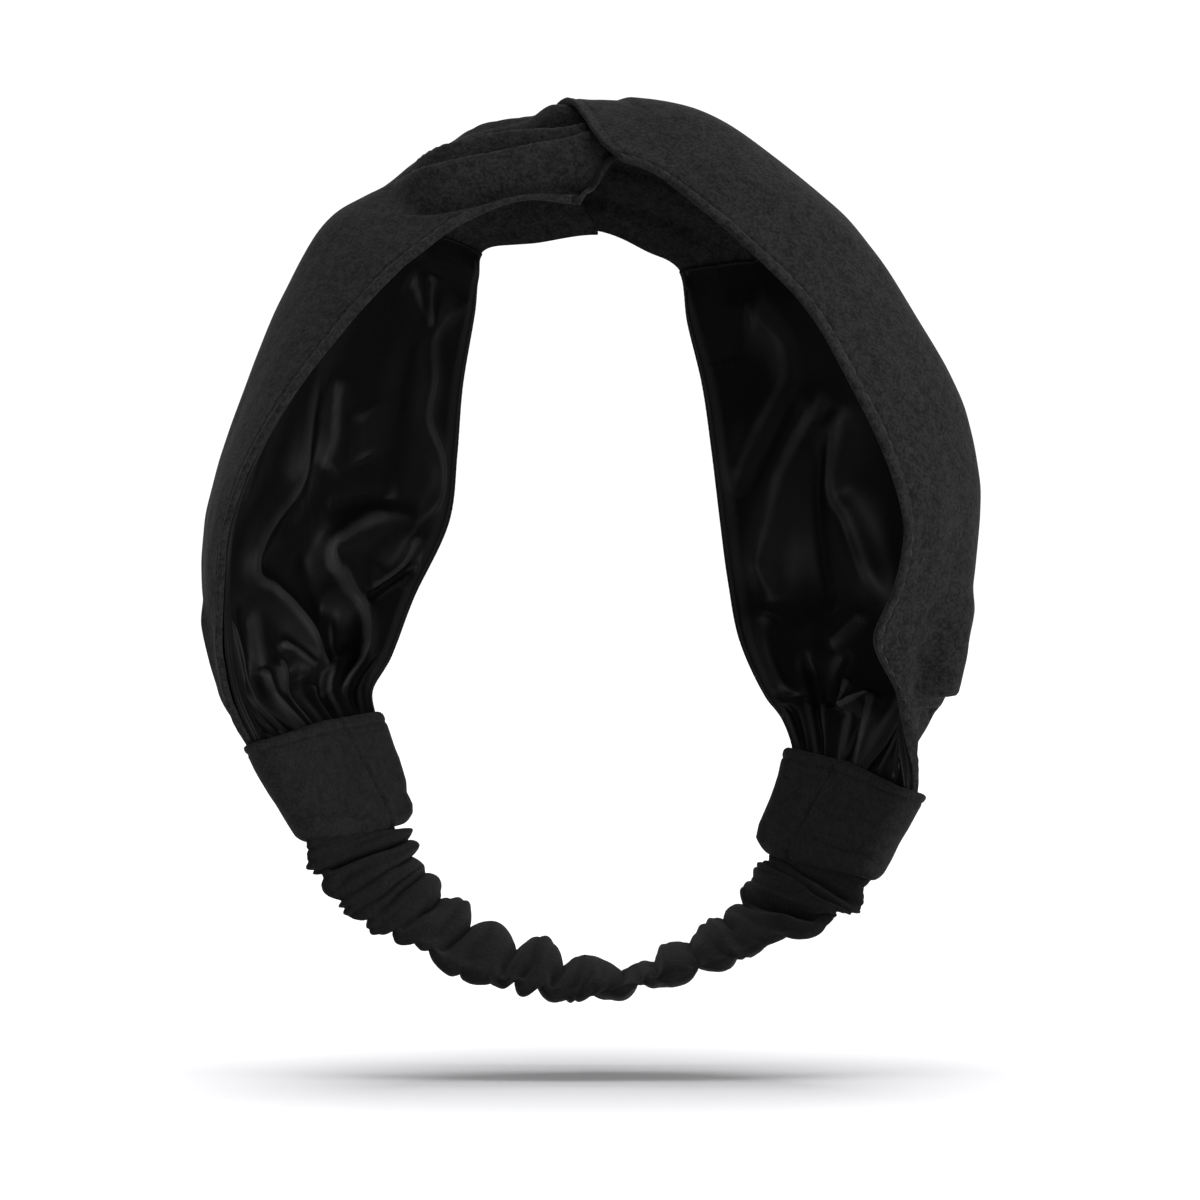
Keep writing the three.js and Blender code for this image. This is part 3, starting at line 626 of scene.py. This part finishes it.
rightSatinFolds = [
    foldAlong(2.3, 4, 6, (0.33, 0.83), (0.35, 0.81), (0.38, 0.79), (0.41, 0.81), (0.43, 0.85),
              (0.46, 0.9), (0.49, 0.935), (0.52, 0.95)),
    foldAlong(2.7, 4.5, 4.5, (0.44, 0.74), (0.46, 0.79), (0.48, 0.83), (0.51, 0.87), (0.56, 0.9),
              (0.6, 0.92), (0.65, 0.91)),
    foldAlong(3.0, 4, 5, (0.45, 0.73), (0.48, 0.74), (0.52, 0.77), (0.54, 0.77), (0.56, 0.75),
              (0.59, 0.73), (0.62, 0.71), (0.66, 0.68)),
    foldAlong(-1.4, 4, 4, (0.48, 0.78), (0.55, 0.82), (0.61, 0.82), (0.66, 0.8)),
    foldAlong(0.9, 2, 2.5, (0.66, 0.72), (0.68, 0.76), (0.7, 0.8)),
    foldAlong(1.6, 4, 4, (0.66, 0.92), (0.72, 0.93), (0.78, 0.92)),
    foldAlong(-1.3, 2, 2, (0.7, 0.758), (0.745, 0.8), (0.81, 0.807)),
    foldAlong(1.9, 3, 2.5, (0.785, 0.84), (0.84, 0.825), (0.93, 0.8)),
    foldAlong(1.5, 2, 2, (0.738, 0.755), (0.775, 0.772), (0.815, 0.77)),
    foldAlong(2.1, 2, 1.8, (0.815, 0.77), (0.787, 0.738), (0.765, 0.693)),
    foldAlong(2.5, 2.2, 2.2, (0.765, 0.693), (0.82, 0.672), (0.863, 0.66), (0.93, 0.63)),
    foldAlong(-1.3, 1.6, 2, (0.8, 0.72), (0.86, 0.71), (0.9, 0.7)),
    foldAlong(0.9, 5, 4, (0.4, 0.58), (0.52, 0.6), (0.62, 0.55)),
    foldAlong(1.4, 4, 4, (0.58, 0.3), (0.7, 0.34), (0.82, 0.28)),
    foldAlong(1.2, 3, 4, (0.74, 0.48), (0.84, 0.5), (0.92, 0.5)),
]
satinGrid = {"rows": 300, "cols": 150, "edge": 0.45, "front": 0.034, "rim": 0.994}
satinBumps = {"broad": (0.35, 19, 11), "fine": (0.10, 7, 5)}
satinShape = {"plump": 1.5, "seam": 0.25, "seamIn": 1.6, "seamWide": 0.5, "ripple": 0.10,
              "ripplePitch": 2.9, "rippleWide": 1.8}


def satinLining(name, strand, clothFolds, folds, start, seed):
    look = satinShape
    rowShares = crowded(satinGrid["rows"], satinGrid["edge"] / wrap["strandRun"])
    colShares = crowded(satinGrid["cols"], satinGrid["edge"] / (2 * wrap["backLeg"]))
    front, rim = satinGrid["front"], satinGrid["rim"]
    across = np.broadcast_to(blendOf(front, rim, colShares), (len(rowShares), len(colShares)))
    start = np.interp(across, *zip(*start))
    run = blendOf(start, 1.0, rowShares[:, None])
    x, y = patternOf(run, across)
    fromEnds = np.minimum(run - start, 1 - run) * wrap["strandRun"]
    first, last = (patternOf(0, np.asarray(at))[1] for at in (front, rim))
    fromSides = np.minimum(y - first, last - y)
    # free in the middle, held where it starts, along its sides and at the cuff
    held = smooth((run - start) / 0.05) * smooth(fromSides / 6) \
        * (1 - 0.8 * smooth((run - 0.81) / 0.115)) * (1 - smooth((run - 0.945) / 0.03))
    soft = look["plump"] + foldHeights(folds, run, across, 2.0, True) \
        + bumps(satinBumps["broad"], x, y, seed) + bumps(satinBumps["fine"], x, y, seed + 1)
    puff = held * 0.5 * (soft + np.sqrt(soft ** 2 + 0.1))  # never below the cloth
    fromSeam = fromSides - look["seamIn"]
    seam = look["seam"] * np.exp(-(fromSeam / look["seamWide"]) ** 2)
    ripple = look["ripple"] * np.cos(2 * math.pi * x / look["ripplePitch"]) \
        * np.exp(-(fromSeam / look["rippleWide"]) ** 2)
    sink = clothHeights(clothFolds, run, across) - wrap["liningGap"] - puff - seam \
        - np.abs(ripple)
    wall = opened(satinGrid["edge"], fromEnds, fromSides)
    half = wrap["liningWall"] / 2
    return sheetOver(name, strand, run, across, sink - half + half * wall,
                     sink - half - half * wall, satin)


# Where the satin begins: at this share across, this share of the run.
leftStart = ((0, 0.30), (0.6, 0.32), (0.8, 0.306), (0.88, 0.278), (1, 0.232))
rightStart = ((0, 0.30), (0.77, 0.302), (0.87, 0.274), (1, 0.229))
leftSatin = satinLining("leftSatinLining", leftStrand, leftClothFolds, leftSatinFolds, leftStart, 31)
rightSatin = satinLining("rightSatinLining", rightStrand, rightClothFolds, rightSatinFolds,
                         rightStart, 37)
print("satin made")

cuffLook = {"rings": 110, "endSides": 16, "flatSides": 110, "edge": 0.8, "corner": 0.9,
            "hemIn": 1.8, "hemThick": 0.16, "hemGroove": 0.35, "hemGrooveWide": 0.3,
            "seamDepth": 0.5, "seamWide": 0.28, "lip": 0.16, "lipAt": 1.1, "lipWide": 0.8,
            "wrinkle": 0.48, "foldDepth": 0.7, "foldUp": 4.2, "foldWander": 0.8,
            "foldWide": 0.5, "footClose": 0.42, "footCloseUp": 2.6}


# A flat sleeve. Tables give millimetres: the mouth's and foot's bow from the front edge (-1) to
# the back edge (1), and how far the back edge stands out and the front edge tucks in, from mouth
# (0) to foot (1).
def cuffSleeve(name, cuff, shape, seed):
    look = cuffLook
    shares = crowded(look["rings"], look["edge"] / cuff.length)[:, None]
    cavity, wall = wrap["cuffCavity"] / 2, wrap["cuffWall"]
    turns = math.pi * (np.linspace(0, 1, look["endSides"] + 1) - 0.5)
    steps = 1 - 2 * np.linspace(0, 1, look["flatSides"] + 1)[1:-1]
    wide = unit(cuff.footHalf + cuff.mouthHalf)
    thick = unit(np.cross(cuff.axis, wide))
    inward = 1 if thick @ (middle - cuff.mouthMid) > 0 else -1

    def rings(radius, detail):
        down = shares + 0 * turns[0]
        flat = np.linalg.norm(cuff.at(down[:, 0], 1) - cuff.at(down[:, 0], 0), axis=1)[:, None]
        flat = flat + look["corner"] - cavity
        w, t = [], []
        for end in (1, -1):
            w += [end * (flat + radius * np.cos(turns)), end * flat * steps]
            t += [end * radius * np.sin(turns), end * radius + 0 * flat * steps]
        w, t = np.concatenate(w, axis=1), np.concatenate(t, axis=1)
        share = np.clip(w / flat, -1, 1)
        long = down * cuff.length
        left = (1 - down) * cuff.length
        side = np.clip(t / radius, -1, 1)
        bow = np.interp(share, (-1, 0, 1), shape["mouthBow"]) * (1 - down) ** 3
        bow -= np.interp(share, (-1, -0.4, 0.2, 1), shape["footBow"]) * down ** 3
        stand = np.interp(down, *zip(*shape["stand"]))
        w = w + stand * smooth((share - 0.2) / 0.8)
        w = w + np.interp(down, *zip(*shape["tuckIn"])) * smooth((-share - 0.2) / 0.8)
        # the foot closes softly round the casing
        t = t * (1 - look["footClose"] * smooth(1 - left / look["footCloseUp"]) ** 2)
        if detail:
            hem = look["hemThick"] * smooth((look["hemIn"] - long) / 0.5) \
                - look["hemGroove"] * np.exp(-((long - look["hemIn"]) / look["hemGrooveWide"]) ** 2)
            face = np.sign(t)
            soft = grain(w / 9 + 3, long / 7 + face * 7, seed) * smooth(long / 5) \
                + 0.4 * grain(w / 4 + long / 6, long / 5 + face * 7, seed + 1)
            soft += 0.5 * grain(w / 2.2, long / 8 + face * 5, seed + 2) * smooth(1 - left / 6)
            seamAt = blendOf(shape["seam"][0], shape["seam"][1], down) * flat
            onInner = smooth(side * inward * 4)
            seam = -look["seamDepth"] * np.exp(-((w - seamAt) / look["seamWide"]) ** 2)
            seam += look["lip"] * np.exp(-((w - seamAt - look["lipAt"]) / look["lipWide"]) ** 2)
            foldAt = look["foldUp"] + look["foldWander"] * grain(w / 6, w * 0, seed + 3)
            fold = -look["foldDepth"] * np.exp(-((left - foldAt) / look["foldWide"]) ** 2)
            fold = fold * smooth((0.5 - share) / 0.5)
            t = t + side * (hem + look["wrinkle"] * soft + (seam + fold) * onInner)
        middles = cuff.at(down[:, 0], 0)[:, None, :]
        return middles + wide * w[..., None] + thick * t[..., None] \
            - cuff.axis * bow[..., None]

    rounding = np.clip(np.minimum(shares, 1 - shares) * cuff.length / look["edge"], 0, 1)
    outer = rings(cavity + wall * np.sqrt(1 - (1 - rounding) ** 2), True)
    return tubeObject(name, outer, cuffCloth, rings(cavity + 0 * rounding, False))


leftSleeve = cuffSleeve("leftCuffSleeve", leftCuff, {
    "seam": (0.28, 0.72), "mouthBow": (0.3, 2.0, 2.2), "footBow": (0.2, 1.8, 2.4, 0.4),
    "tuckIn": ((0, 0), (0.5, 0.8), (1, 2.6)),
    "stand": ((0, 0), (0.4, 1.8), (0.62, 1.6), (0.72, 0.9), (0.84, 1.5), (0.93, 0.9), (1, -0.3)),
}, 41)
rightSleeve = cuffSleeve("rightCuffSleeve", rightCuff, {
    "seam": (0.15, 0.55), "mouthBow": (0.2, 2.3, 2.0), "footBow": (0.2, 0.8, 1.6, 1.0),
    "tuckIn": ((0, 0.4), (0.5, 1.0), (1, 1.2)),
    "stand": ((0, -0.3), (0.25, -0.2), (0.5, 0.6), (0.75, 1.8), (0.88, 1.7), (1, -0.8)),
}, 43)
print("cuffs made")

casingShape = {"rings": 760, "sides": 88, "thick": 5.4, "crease": 1.5, "creaseWide": 0.75,
               "gather": 0.55, "gatherPitch": 2.3, "taut": 0.6, "inset": 0.4, "wander": 0.004,
               "teeth": 0.8, "teethPitch": 3.0, "bulge": 0.7}
# The outline of the gathers seen from the front: share of the casing's length, then millimetres
# from its centre line to a crest or a dip, on the ring's inner side and on its outer side.
innerOutline = [
    (0.0, 8.3), (0.10, 8.6), (0.125, 9.3), (0.155, 10.2), (0.174, 7.9), (0.198, 9.3), (0.215, 6.7),
    (0.262, 7.6), (0.283, 6.6), (0.303, 7.8), (0.328, 4.5), (0.363, 7.5), (0.385, 3.2),
    (0.415, 6.6), (0.45, 2.7), (0.48, 7.2), (0.512, 2.1), (0.538, 5.2), (0.587, 1.3),
    (0.608, 2.6), (0.628, 1.9), (0.645, 4.7), (0.678, 2.9), (0.715, 5.4), (0.732, 4.0),
    (0.748, 5.4), (0.766, 4.4), (0.783, 7.4), (0.796, 6.9), (0.827, 8.9), (0.848, 7.9),
    (0.87, 9.2), (0.91, 8.8), (1.0, 8.6),
]
outerOutline = [
    (0.0, 8.3), (0.09, 9.0), (0.107, 10.5), (0.132, 8.9), (0.17, 10.6), (0.208, 9.4), (0.233, 9.9),
    (0.268, 7.4), (0.283, 8.6), (0.303, 5.4), (0.313, 6.8), (0.333, 4.6), (0.343, 5.0),
    (0.352, 4.1), (0.385, 6.4), (0.397, 5.2), (0.405, 6.1), (0.433, 4.6), (0.445, 4.9),
    (0.458, 2.6), (0.47, 5.1), (0.485, 2.5), (0.502, 4.6), (0.55, 2.6), (0.578, 4.4),
    (0.602, 1.7), (0.653, 4.2), (0.677, 2.2), (0.71, 4.7), (0.723, 3.8), (0.76, 4.8),
    (0.79, 5.1), (0.835, 9.1), (0.87, 7.9), (0.895, 11.2), (0.915, 9.4), (1.0, 9.0),
]
# Where each deep crease starts on the inner side and ends on the outer side, and its depth.
creases = [
    (0.174, 0.122, 3.0), (0.198, 0.150, 0.5), (0.215, 0.208, 0.9), (0.262, 0.243, 0.6),
    (0.283, 0.268, 1.0), (0.328, 0.303, 1.3), (0.36, 0.336, 0.5), (0.385, 0.352, 1.2),
    (0.407, 0.397, 0.6), (0.45, 0.44, 1.2), (0.475, 0.458, 0.7), (0.512, 0.485, 1.2),
    (0.535, 0.52, 0.6), (0.587, 0.552, 1.1), (0.602, 0.602, 0.9), (0.628, 0.63, 0.7),
    (0.678, 0.677, 1.0), (0.70, 0.723, 0.6), (0.732, 0.74, 0.9), (0.752, 0.79, 0.5),
    (0.774, 0.862, 3.0), (0.84, 0.882, 0.5), (0.862, 0.895, 1.1), (0.89, 0.92, 0.8),
]


# Round crests and sharp dips through a table of (share, height).
def ruffled(table, t):
    place, height = np.array(table).T
    i = np.clip(np.searchsorted(place, t, side="right") - 1, 0, len(place) - 2)
    share = (t - place[i]) / (place[i + 1] - place[i])
    rising = height[i + 1] > height[i]
    up = np.where(rising, share, 1 - share)
    low, high = np.minimum(height[i], height[i + 1]), np.maximum(height[i], height[i + 1])
    return low + (high - low) * np.sin(np.clip(up, 0, 1) * math.pi / 2) ** 0.75


def gatheredCasing(name):
    look = casingShape
    rows = [(np.add(*map(placed, row)) / 2, np.subtract(placed(row[1]), placed(row[0])) / 2)
            for row in casingRows]
    for cuff, where in ((leftCuff, 0), (rightCuff, len(rows) + 1)):
        down = 1 - wrap["tuck"] / cuff.length
        rows.insert(where, (cuff.at(down, 0), cuff.at(down, 1) - cuff.at(down, 0)))
    t = np.linspace(0, 1, look["rings"])
    centre = curveAt(np.array([r[0] for r in rows]), t)
    half = curveAt(np.array([r[1] for r in rows]), t)
    tangent = unit(np.gradient(centre, axis=0))
    wide = unit(half)
    thick = unit(np.cross(tangent, wide))
    # up from the centre line in the plane of the ring, so that gathers stand across the ring
    across = unit(np.stack((-tangent[:, 2], 0 * t, tangent[:, 0]), -1))
    long = np.concatenate(([0], np.cumsum(np.linalg.norm(np.diff(centre, axis=0), axis=1))))
    free = smooth((np.minimum(t, 1 - t) * (len(rows) - 1) - 1.0) / 0.35)[:, None]
    turn = np.linspace(0, 2 * math.pi, look["sides"], endpoint=False)[None, :]
    c, s = np.cos(turn), np.sin(turn)
    face = np.sign(s)
    wHalf = np.linalg.norm(half, axis=1)[:, None] - look["inset"]
    tHalf = blendOf(wrap["cuffCavity"] / 2 - look["inset"], look["thick"] / 2, free)
    flat = (wide[:, None, :] * (c * wHalf)[..., None]
            + thick[:, None, :] * (face * np.abs(s) ** 0.8 * tHalf)[..., None])
    high = np.sum(flat * across[:, None, :], axis=-1)
    reachIn, reachOut = high.max(axis=1, keepdims=True), -high.min(axis=1, keepdims=True)
    v = np.clip((high + reachOut) / (reachIn + reachOut), 0, 1)
    inside = 4 * v * (1 - v)  # 0 on the outline, 1 on the centre line
    wander = look["wander"] * grain(t[:, None] * 40, c * 2 + 5 * face, 50) * inside
    along = np.sum(flat * tangent[:, None, :], axis=-1) / long[-1]
    tt = np.clip(t[:, None] + along + wander, 0, 0.999999)
    starts, ends, depths = np.array([(0, 0, 0)] + creases + [(1, 1, 0)]).T
    # where each point lies along the inner side, counted between its two nearest creases
    tin = tt
    for k in range(len(starts) - 1):
        below, above = blendOf(ends[k], starts[k], v), blendOf(ends[k + 1], starts[k + 1], v)
        share = (tt - below) / (above - below)
        tin = np.where((share >= 0) & (share < 1), blendOf(starts[k], starts[k + 1], share), tin)
    inner = ruffled(innerOutline, tin) - look["taut"]
    outer = ruffled(outerOutline, np.interp(tin, starts, ends)) - look["taut"]
    stretch = np.where(high > 0, inner / reachIn, outer / reachOut)
    moved = high * (blendOf(1.0, stretch, free) - 1)
    dips = sum(depth * np.exp(-((tin - at) * long[-1] / look["creaseWide"]) ** 2)
               for at, depth in zip(starts, depths))
    x = tin * long[-1]
    shifted = x + 0.8 * grain(x / 3, v * 3 + 5 * face, 54)
    fine = np.abs(np.cos(math.pi * shifted / look["gatherPitch"])) - 0.6
    fine = look["gather"] * fine * smooth(0.35 + 0.9 * grain(x / 4, v * 3 + 3 * face, 56))
    # small teeth on the outer side, near both cuffs
    teeth = look["teeth"] * (np.abs(np.cos(math.pi * x / look["teethPitch"])) - 0.6) \
        * smooth((0.22 - v) / 0.2) * smooth((np.abs(tin - 0.5) - 0.22) / 0.06)
    swellOut = unit(wide[:, None, :] * (c ** 3)[..., None] * 0.7 + thick[:, None, :] * s[..., None])
    bulge = look["bulge"] * grain(x / 4.5, v * 2 + 8 * face, 57) * inside
    rise = free * (bulge + teeth + fine - look["crease"] * dips * inside ** 0.3)
    points = centre[:, None, :] + flat + across[:, None, :] * moved[..., None] \
        + swellOut * rise[..., None]
    return tubeObject(name, points[:, ::-1], casingCloth)


casing = gatheredCasing("gatheredCasing")
print("casing made")

stitchLook = {"length": 2.0, "pitch": 3.1, "radius": 0.11, "sunk": 0.32}


# A row of stitches lying on a strand, at one share across its pattern.
def stitchRow(name, strand, folds, acrossAt, runs, lift):
    look = stitchLook
    fine = np.linspace(*runs, 1500)
    across = np.full(fine.shape, acrossAt)
    base = strand.point(fine, across)
    normal = strand.outward(fine, across)
    path = base + normal * (clothHeights(folds, fine, across) + lift)[:, None]
    long = np.concatenate(([0], np.cumsum(np.linalg.norm(np.diff(path, axis=0), axis=1))))
    points, faces = [], []
    ring = np.linspace(0, 2 * math.pi, 6, endpoint=False)
    for k in range(int(long[-1] / look["pitch"])):
        at = k * look["pitch"] + np.linspace(0, look["length"], 7)
        spine = np.stack([np.interp(at, long, path[:, i]) for i in range(3)], -1)
        up = np.stack([np.interp(at, long, normal[:, i]) for i in range(3)], -1)
        ahead = unit(np.gradient(spine, axis=0))
        aside = unit(np.cross(ahead, up))
        arch = np.sin(np.linspace(0, math.pi, 7))
        size = look["radius"] * (0.35 + 0.65 * arch ** 0.5)
        spine = spine + up * ((arch - 0.6) * look["radius"] * 1.2)[:, None]
        first = len(points) * 6
        points += [spine[i] + size[i] * (np.cos(ring)[:, None] * aside[i]
                                         + np.sin(ring)[:, None] * up[i]) for i in range(7)]
        for i in range(6):
            faces += [(first + 6 * i + j, first + 6 * i + (j + 1) % 6,
                       first + 6 * i + 6 + (j + 1) % 6, first + 6 * i + 6 + j) for j in range(6)]
        faces += [tuple(first + j for j in range(5, -1, -1)), tuple(first + 36 + j for j in range(6))]
    return meshObject(name, np.concatenate(points) * mm, faces, thread)


hemShare = hemLook["stitchIn"] / (2 * wrap["frontLeg"])
rimShare = 1 - hemLook["stitchIn"] / (2 * wrap["backLeg"])
onCloth = wrap["clothWall"] - stitchLook["sunk"]
stitches = [
    stitchRow("leftHemStitch", leftStrand, leftClothFolds, hemShare, (0.085, 0.92), onCloth),
    stitchRow("rightHemStitch", rightStrand, rightClothFolds, hemShare, (0.09, 0.92), onCloth),
    stitchRow("leftRimStitch", leftStrand, leftClothFolds, rimShare, (0.075, 0.92), onCloth + 0.1),
    stitchRow("rightRimStitch", rightStrand, rightClothFolds, rimShare, (0.02, 0.92), onCloth + 0.1),
]
print("stitching made")

pieces = (leftCloth, rightCloth, leftSatin, rightSatin, leftSleeve, rightSleeve, casing, *stitches)
for piece in pieces:
    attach(piece, "root")
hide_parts("left_strand")
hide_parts("right_strand")
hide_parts("left_lining")
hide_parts("right_lining")
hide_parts("left_cuff")
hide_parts("right_cuff")
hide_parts("elastic_casing")

# The camera stands where the photograph's did: level, 850 mm in front of the band.
view = {"distance": 0.85, "frameWidth": 0.234, "across": 0.00195, "up": -0.0712}
camera = bpy.data.cameras.new("camera")
camera.sensor_width = 36.0
camera.lens = camera.sensor_width * view["distance"] / view["frameWidth"]
camera.clip_start, camera.clip_end = 0.05, 30.0
cameraObject = bpy.data.objects.new("camera", camera)
cameraObject.location = (view["across"], -view["distance"], view["up"])
cameraObject.rotation_euler = (math.pi / 2, 0, 0)
bpy.context.scene.collection.objects.link(cameraObject)
bpy.context.scene.camera = cameraObject

# A wide pale floor below the piece, and a sky that is white near the horizon and dim above it.
studio = {"floorUp": -0.164, "floorRings": (0.5, 2.0, 9.0), "floorTone": 0.95, "horizon": 1.06,
          "overhead": 0.34, "fadeFrom": 0.12, "fadeTo": 0.45}


def paleFloor():
    sides = 96
    points = [(0, 0, studio["floorUp"])]
    for radius in studio["floorRings"]:
        points += [(radius * math.cos(2 * math.pi * k / sides),
                    radius * math.sin(2 * math.pi * k / sides), studio["floorUp"])
                   for k in range(sides)]
    faces = [(0, 1 + k, 1 + (k + 1) % sides) for k in range(sides)]
    for row in range(len(studio["floorRings"]) - 1):
        a, b = 1 + row * sides, 1 + (row + 1) * sides
        faces += [(a + k, b + k, b + (k + 1) % sides, a + (k + 1) % sides) for k in range(sides)]
    paint = ShaderBoard("pale floor").surface({
        "Base Color": grey(studio["floorTone"]), "Roughness": 0.9, "Specular IOR Level": 0.0})
    floor = meshObject("studioFloor", np.array(points, float), faces, paint)
    floor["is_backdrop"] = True


paleFloor()
world = bpy.data.worlds.new("studio sky")
world.use_nodes = True
sky = ShaderBoard("studio sky", world.node_tree)
direction = sky.node("ShaderNodeTexCoord", None, None, "Generated")
height = sky.node("ShaderNodeSeparateXYZ", None, {0: direction}, "Z")
fade = sky.ramp(height, studio["fadeFrom"], studio["fadeTo"],
                (studio["horizon"], studio["overhead"]))
glow = sky.node("ShaderNodeBackground", None, {"Color": (1, 1, 1, 1), "Strength": fade})
sky.finish(glow, "ShaderNodeOutputWorld")
bpy.context.scene.world = world
bpy.context.scene.view_settings.view_transform = "Standard"

# The softboxes light the wrap alone, so the floor keeps the shadow of the light above. Two of
# them light only the satin.
wrapOnly = bpy.data.collections.new("wrap only")
satinOnly = bpy.data.collections.new("satin only")
for piece in pieces:
    wrapOnly.objects.link(piece)
for piece in (leftSatin, rightSatin):
    satinOnly.objects.link(piece)
lamps = [
    {"name": "overheadSoftLight", "at": (0.0, 0.03, 1.0), "strength": 2.85, "angle": 0.85},
    {"name": "keySoftbox", "at": (1.20, -0.80, -0.32), "size": 1.2, "power": 25.0,
     "lights": wrapOnly},
    {"name": "frontSoftbox", "at": (0.15, -1.15, 0.40), "size": 0.9, "power": 7.0,
     "lights": wrapOnly},
    {"name": "backSoftbox", "at": (0.15, 0.7, 0.75), "size": 0.4, "power": 2.0,
     "lights": wrapOnly},
    {"name": "leftSatinSoftbox", "at": (1.05, -0.80, 0.35), "size": 0.4, "power": 6.0,
     "lights": satinOnly},
    {"name": "rightSatinSoftbox", "at": (-1.05, -0.80, 0.35), "size": 0.4, "power": 6.0,
     "lights": satinOnly},
]
for lamp in lamps:
    isSun = "strength" in lamp
    light = bpy.data.lights.new(lamp["name"], "SUN" if isSun else "AREA")
    if isSun:
        light.energy, light.angle = lamp["strength"], lamp["angle"]
    else:
        light.shape, light.size, light.energy = "SQUARE", lamp["size"], lamp["power"]
    holder = bpy.data.objects.new(lamp["name"], light)
    if not isSun:
        holder.light_linking.receiver_collection = lamp["lights"]
        holder.light_linking.blocker_collection = wrapOnly
    holder.location = lamp["at"]
    aim = Vector((0, 0, 0 if isSun else view["up"])) - Vector(lamp["at"])
    holder.rotation_euler = aim.to_track_quat("-Z", "Y").to_euler()
    bpy.context.scene.collection.objects.link(holder)
print("studio made")

asLists = lambda box: [[round(float(v), 5) for v in corner] for corner in box]
{"cad": asLists(cadBox), "visual": asLists(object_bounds())}
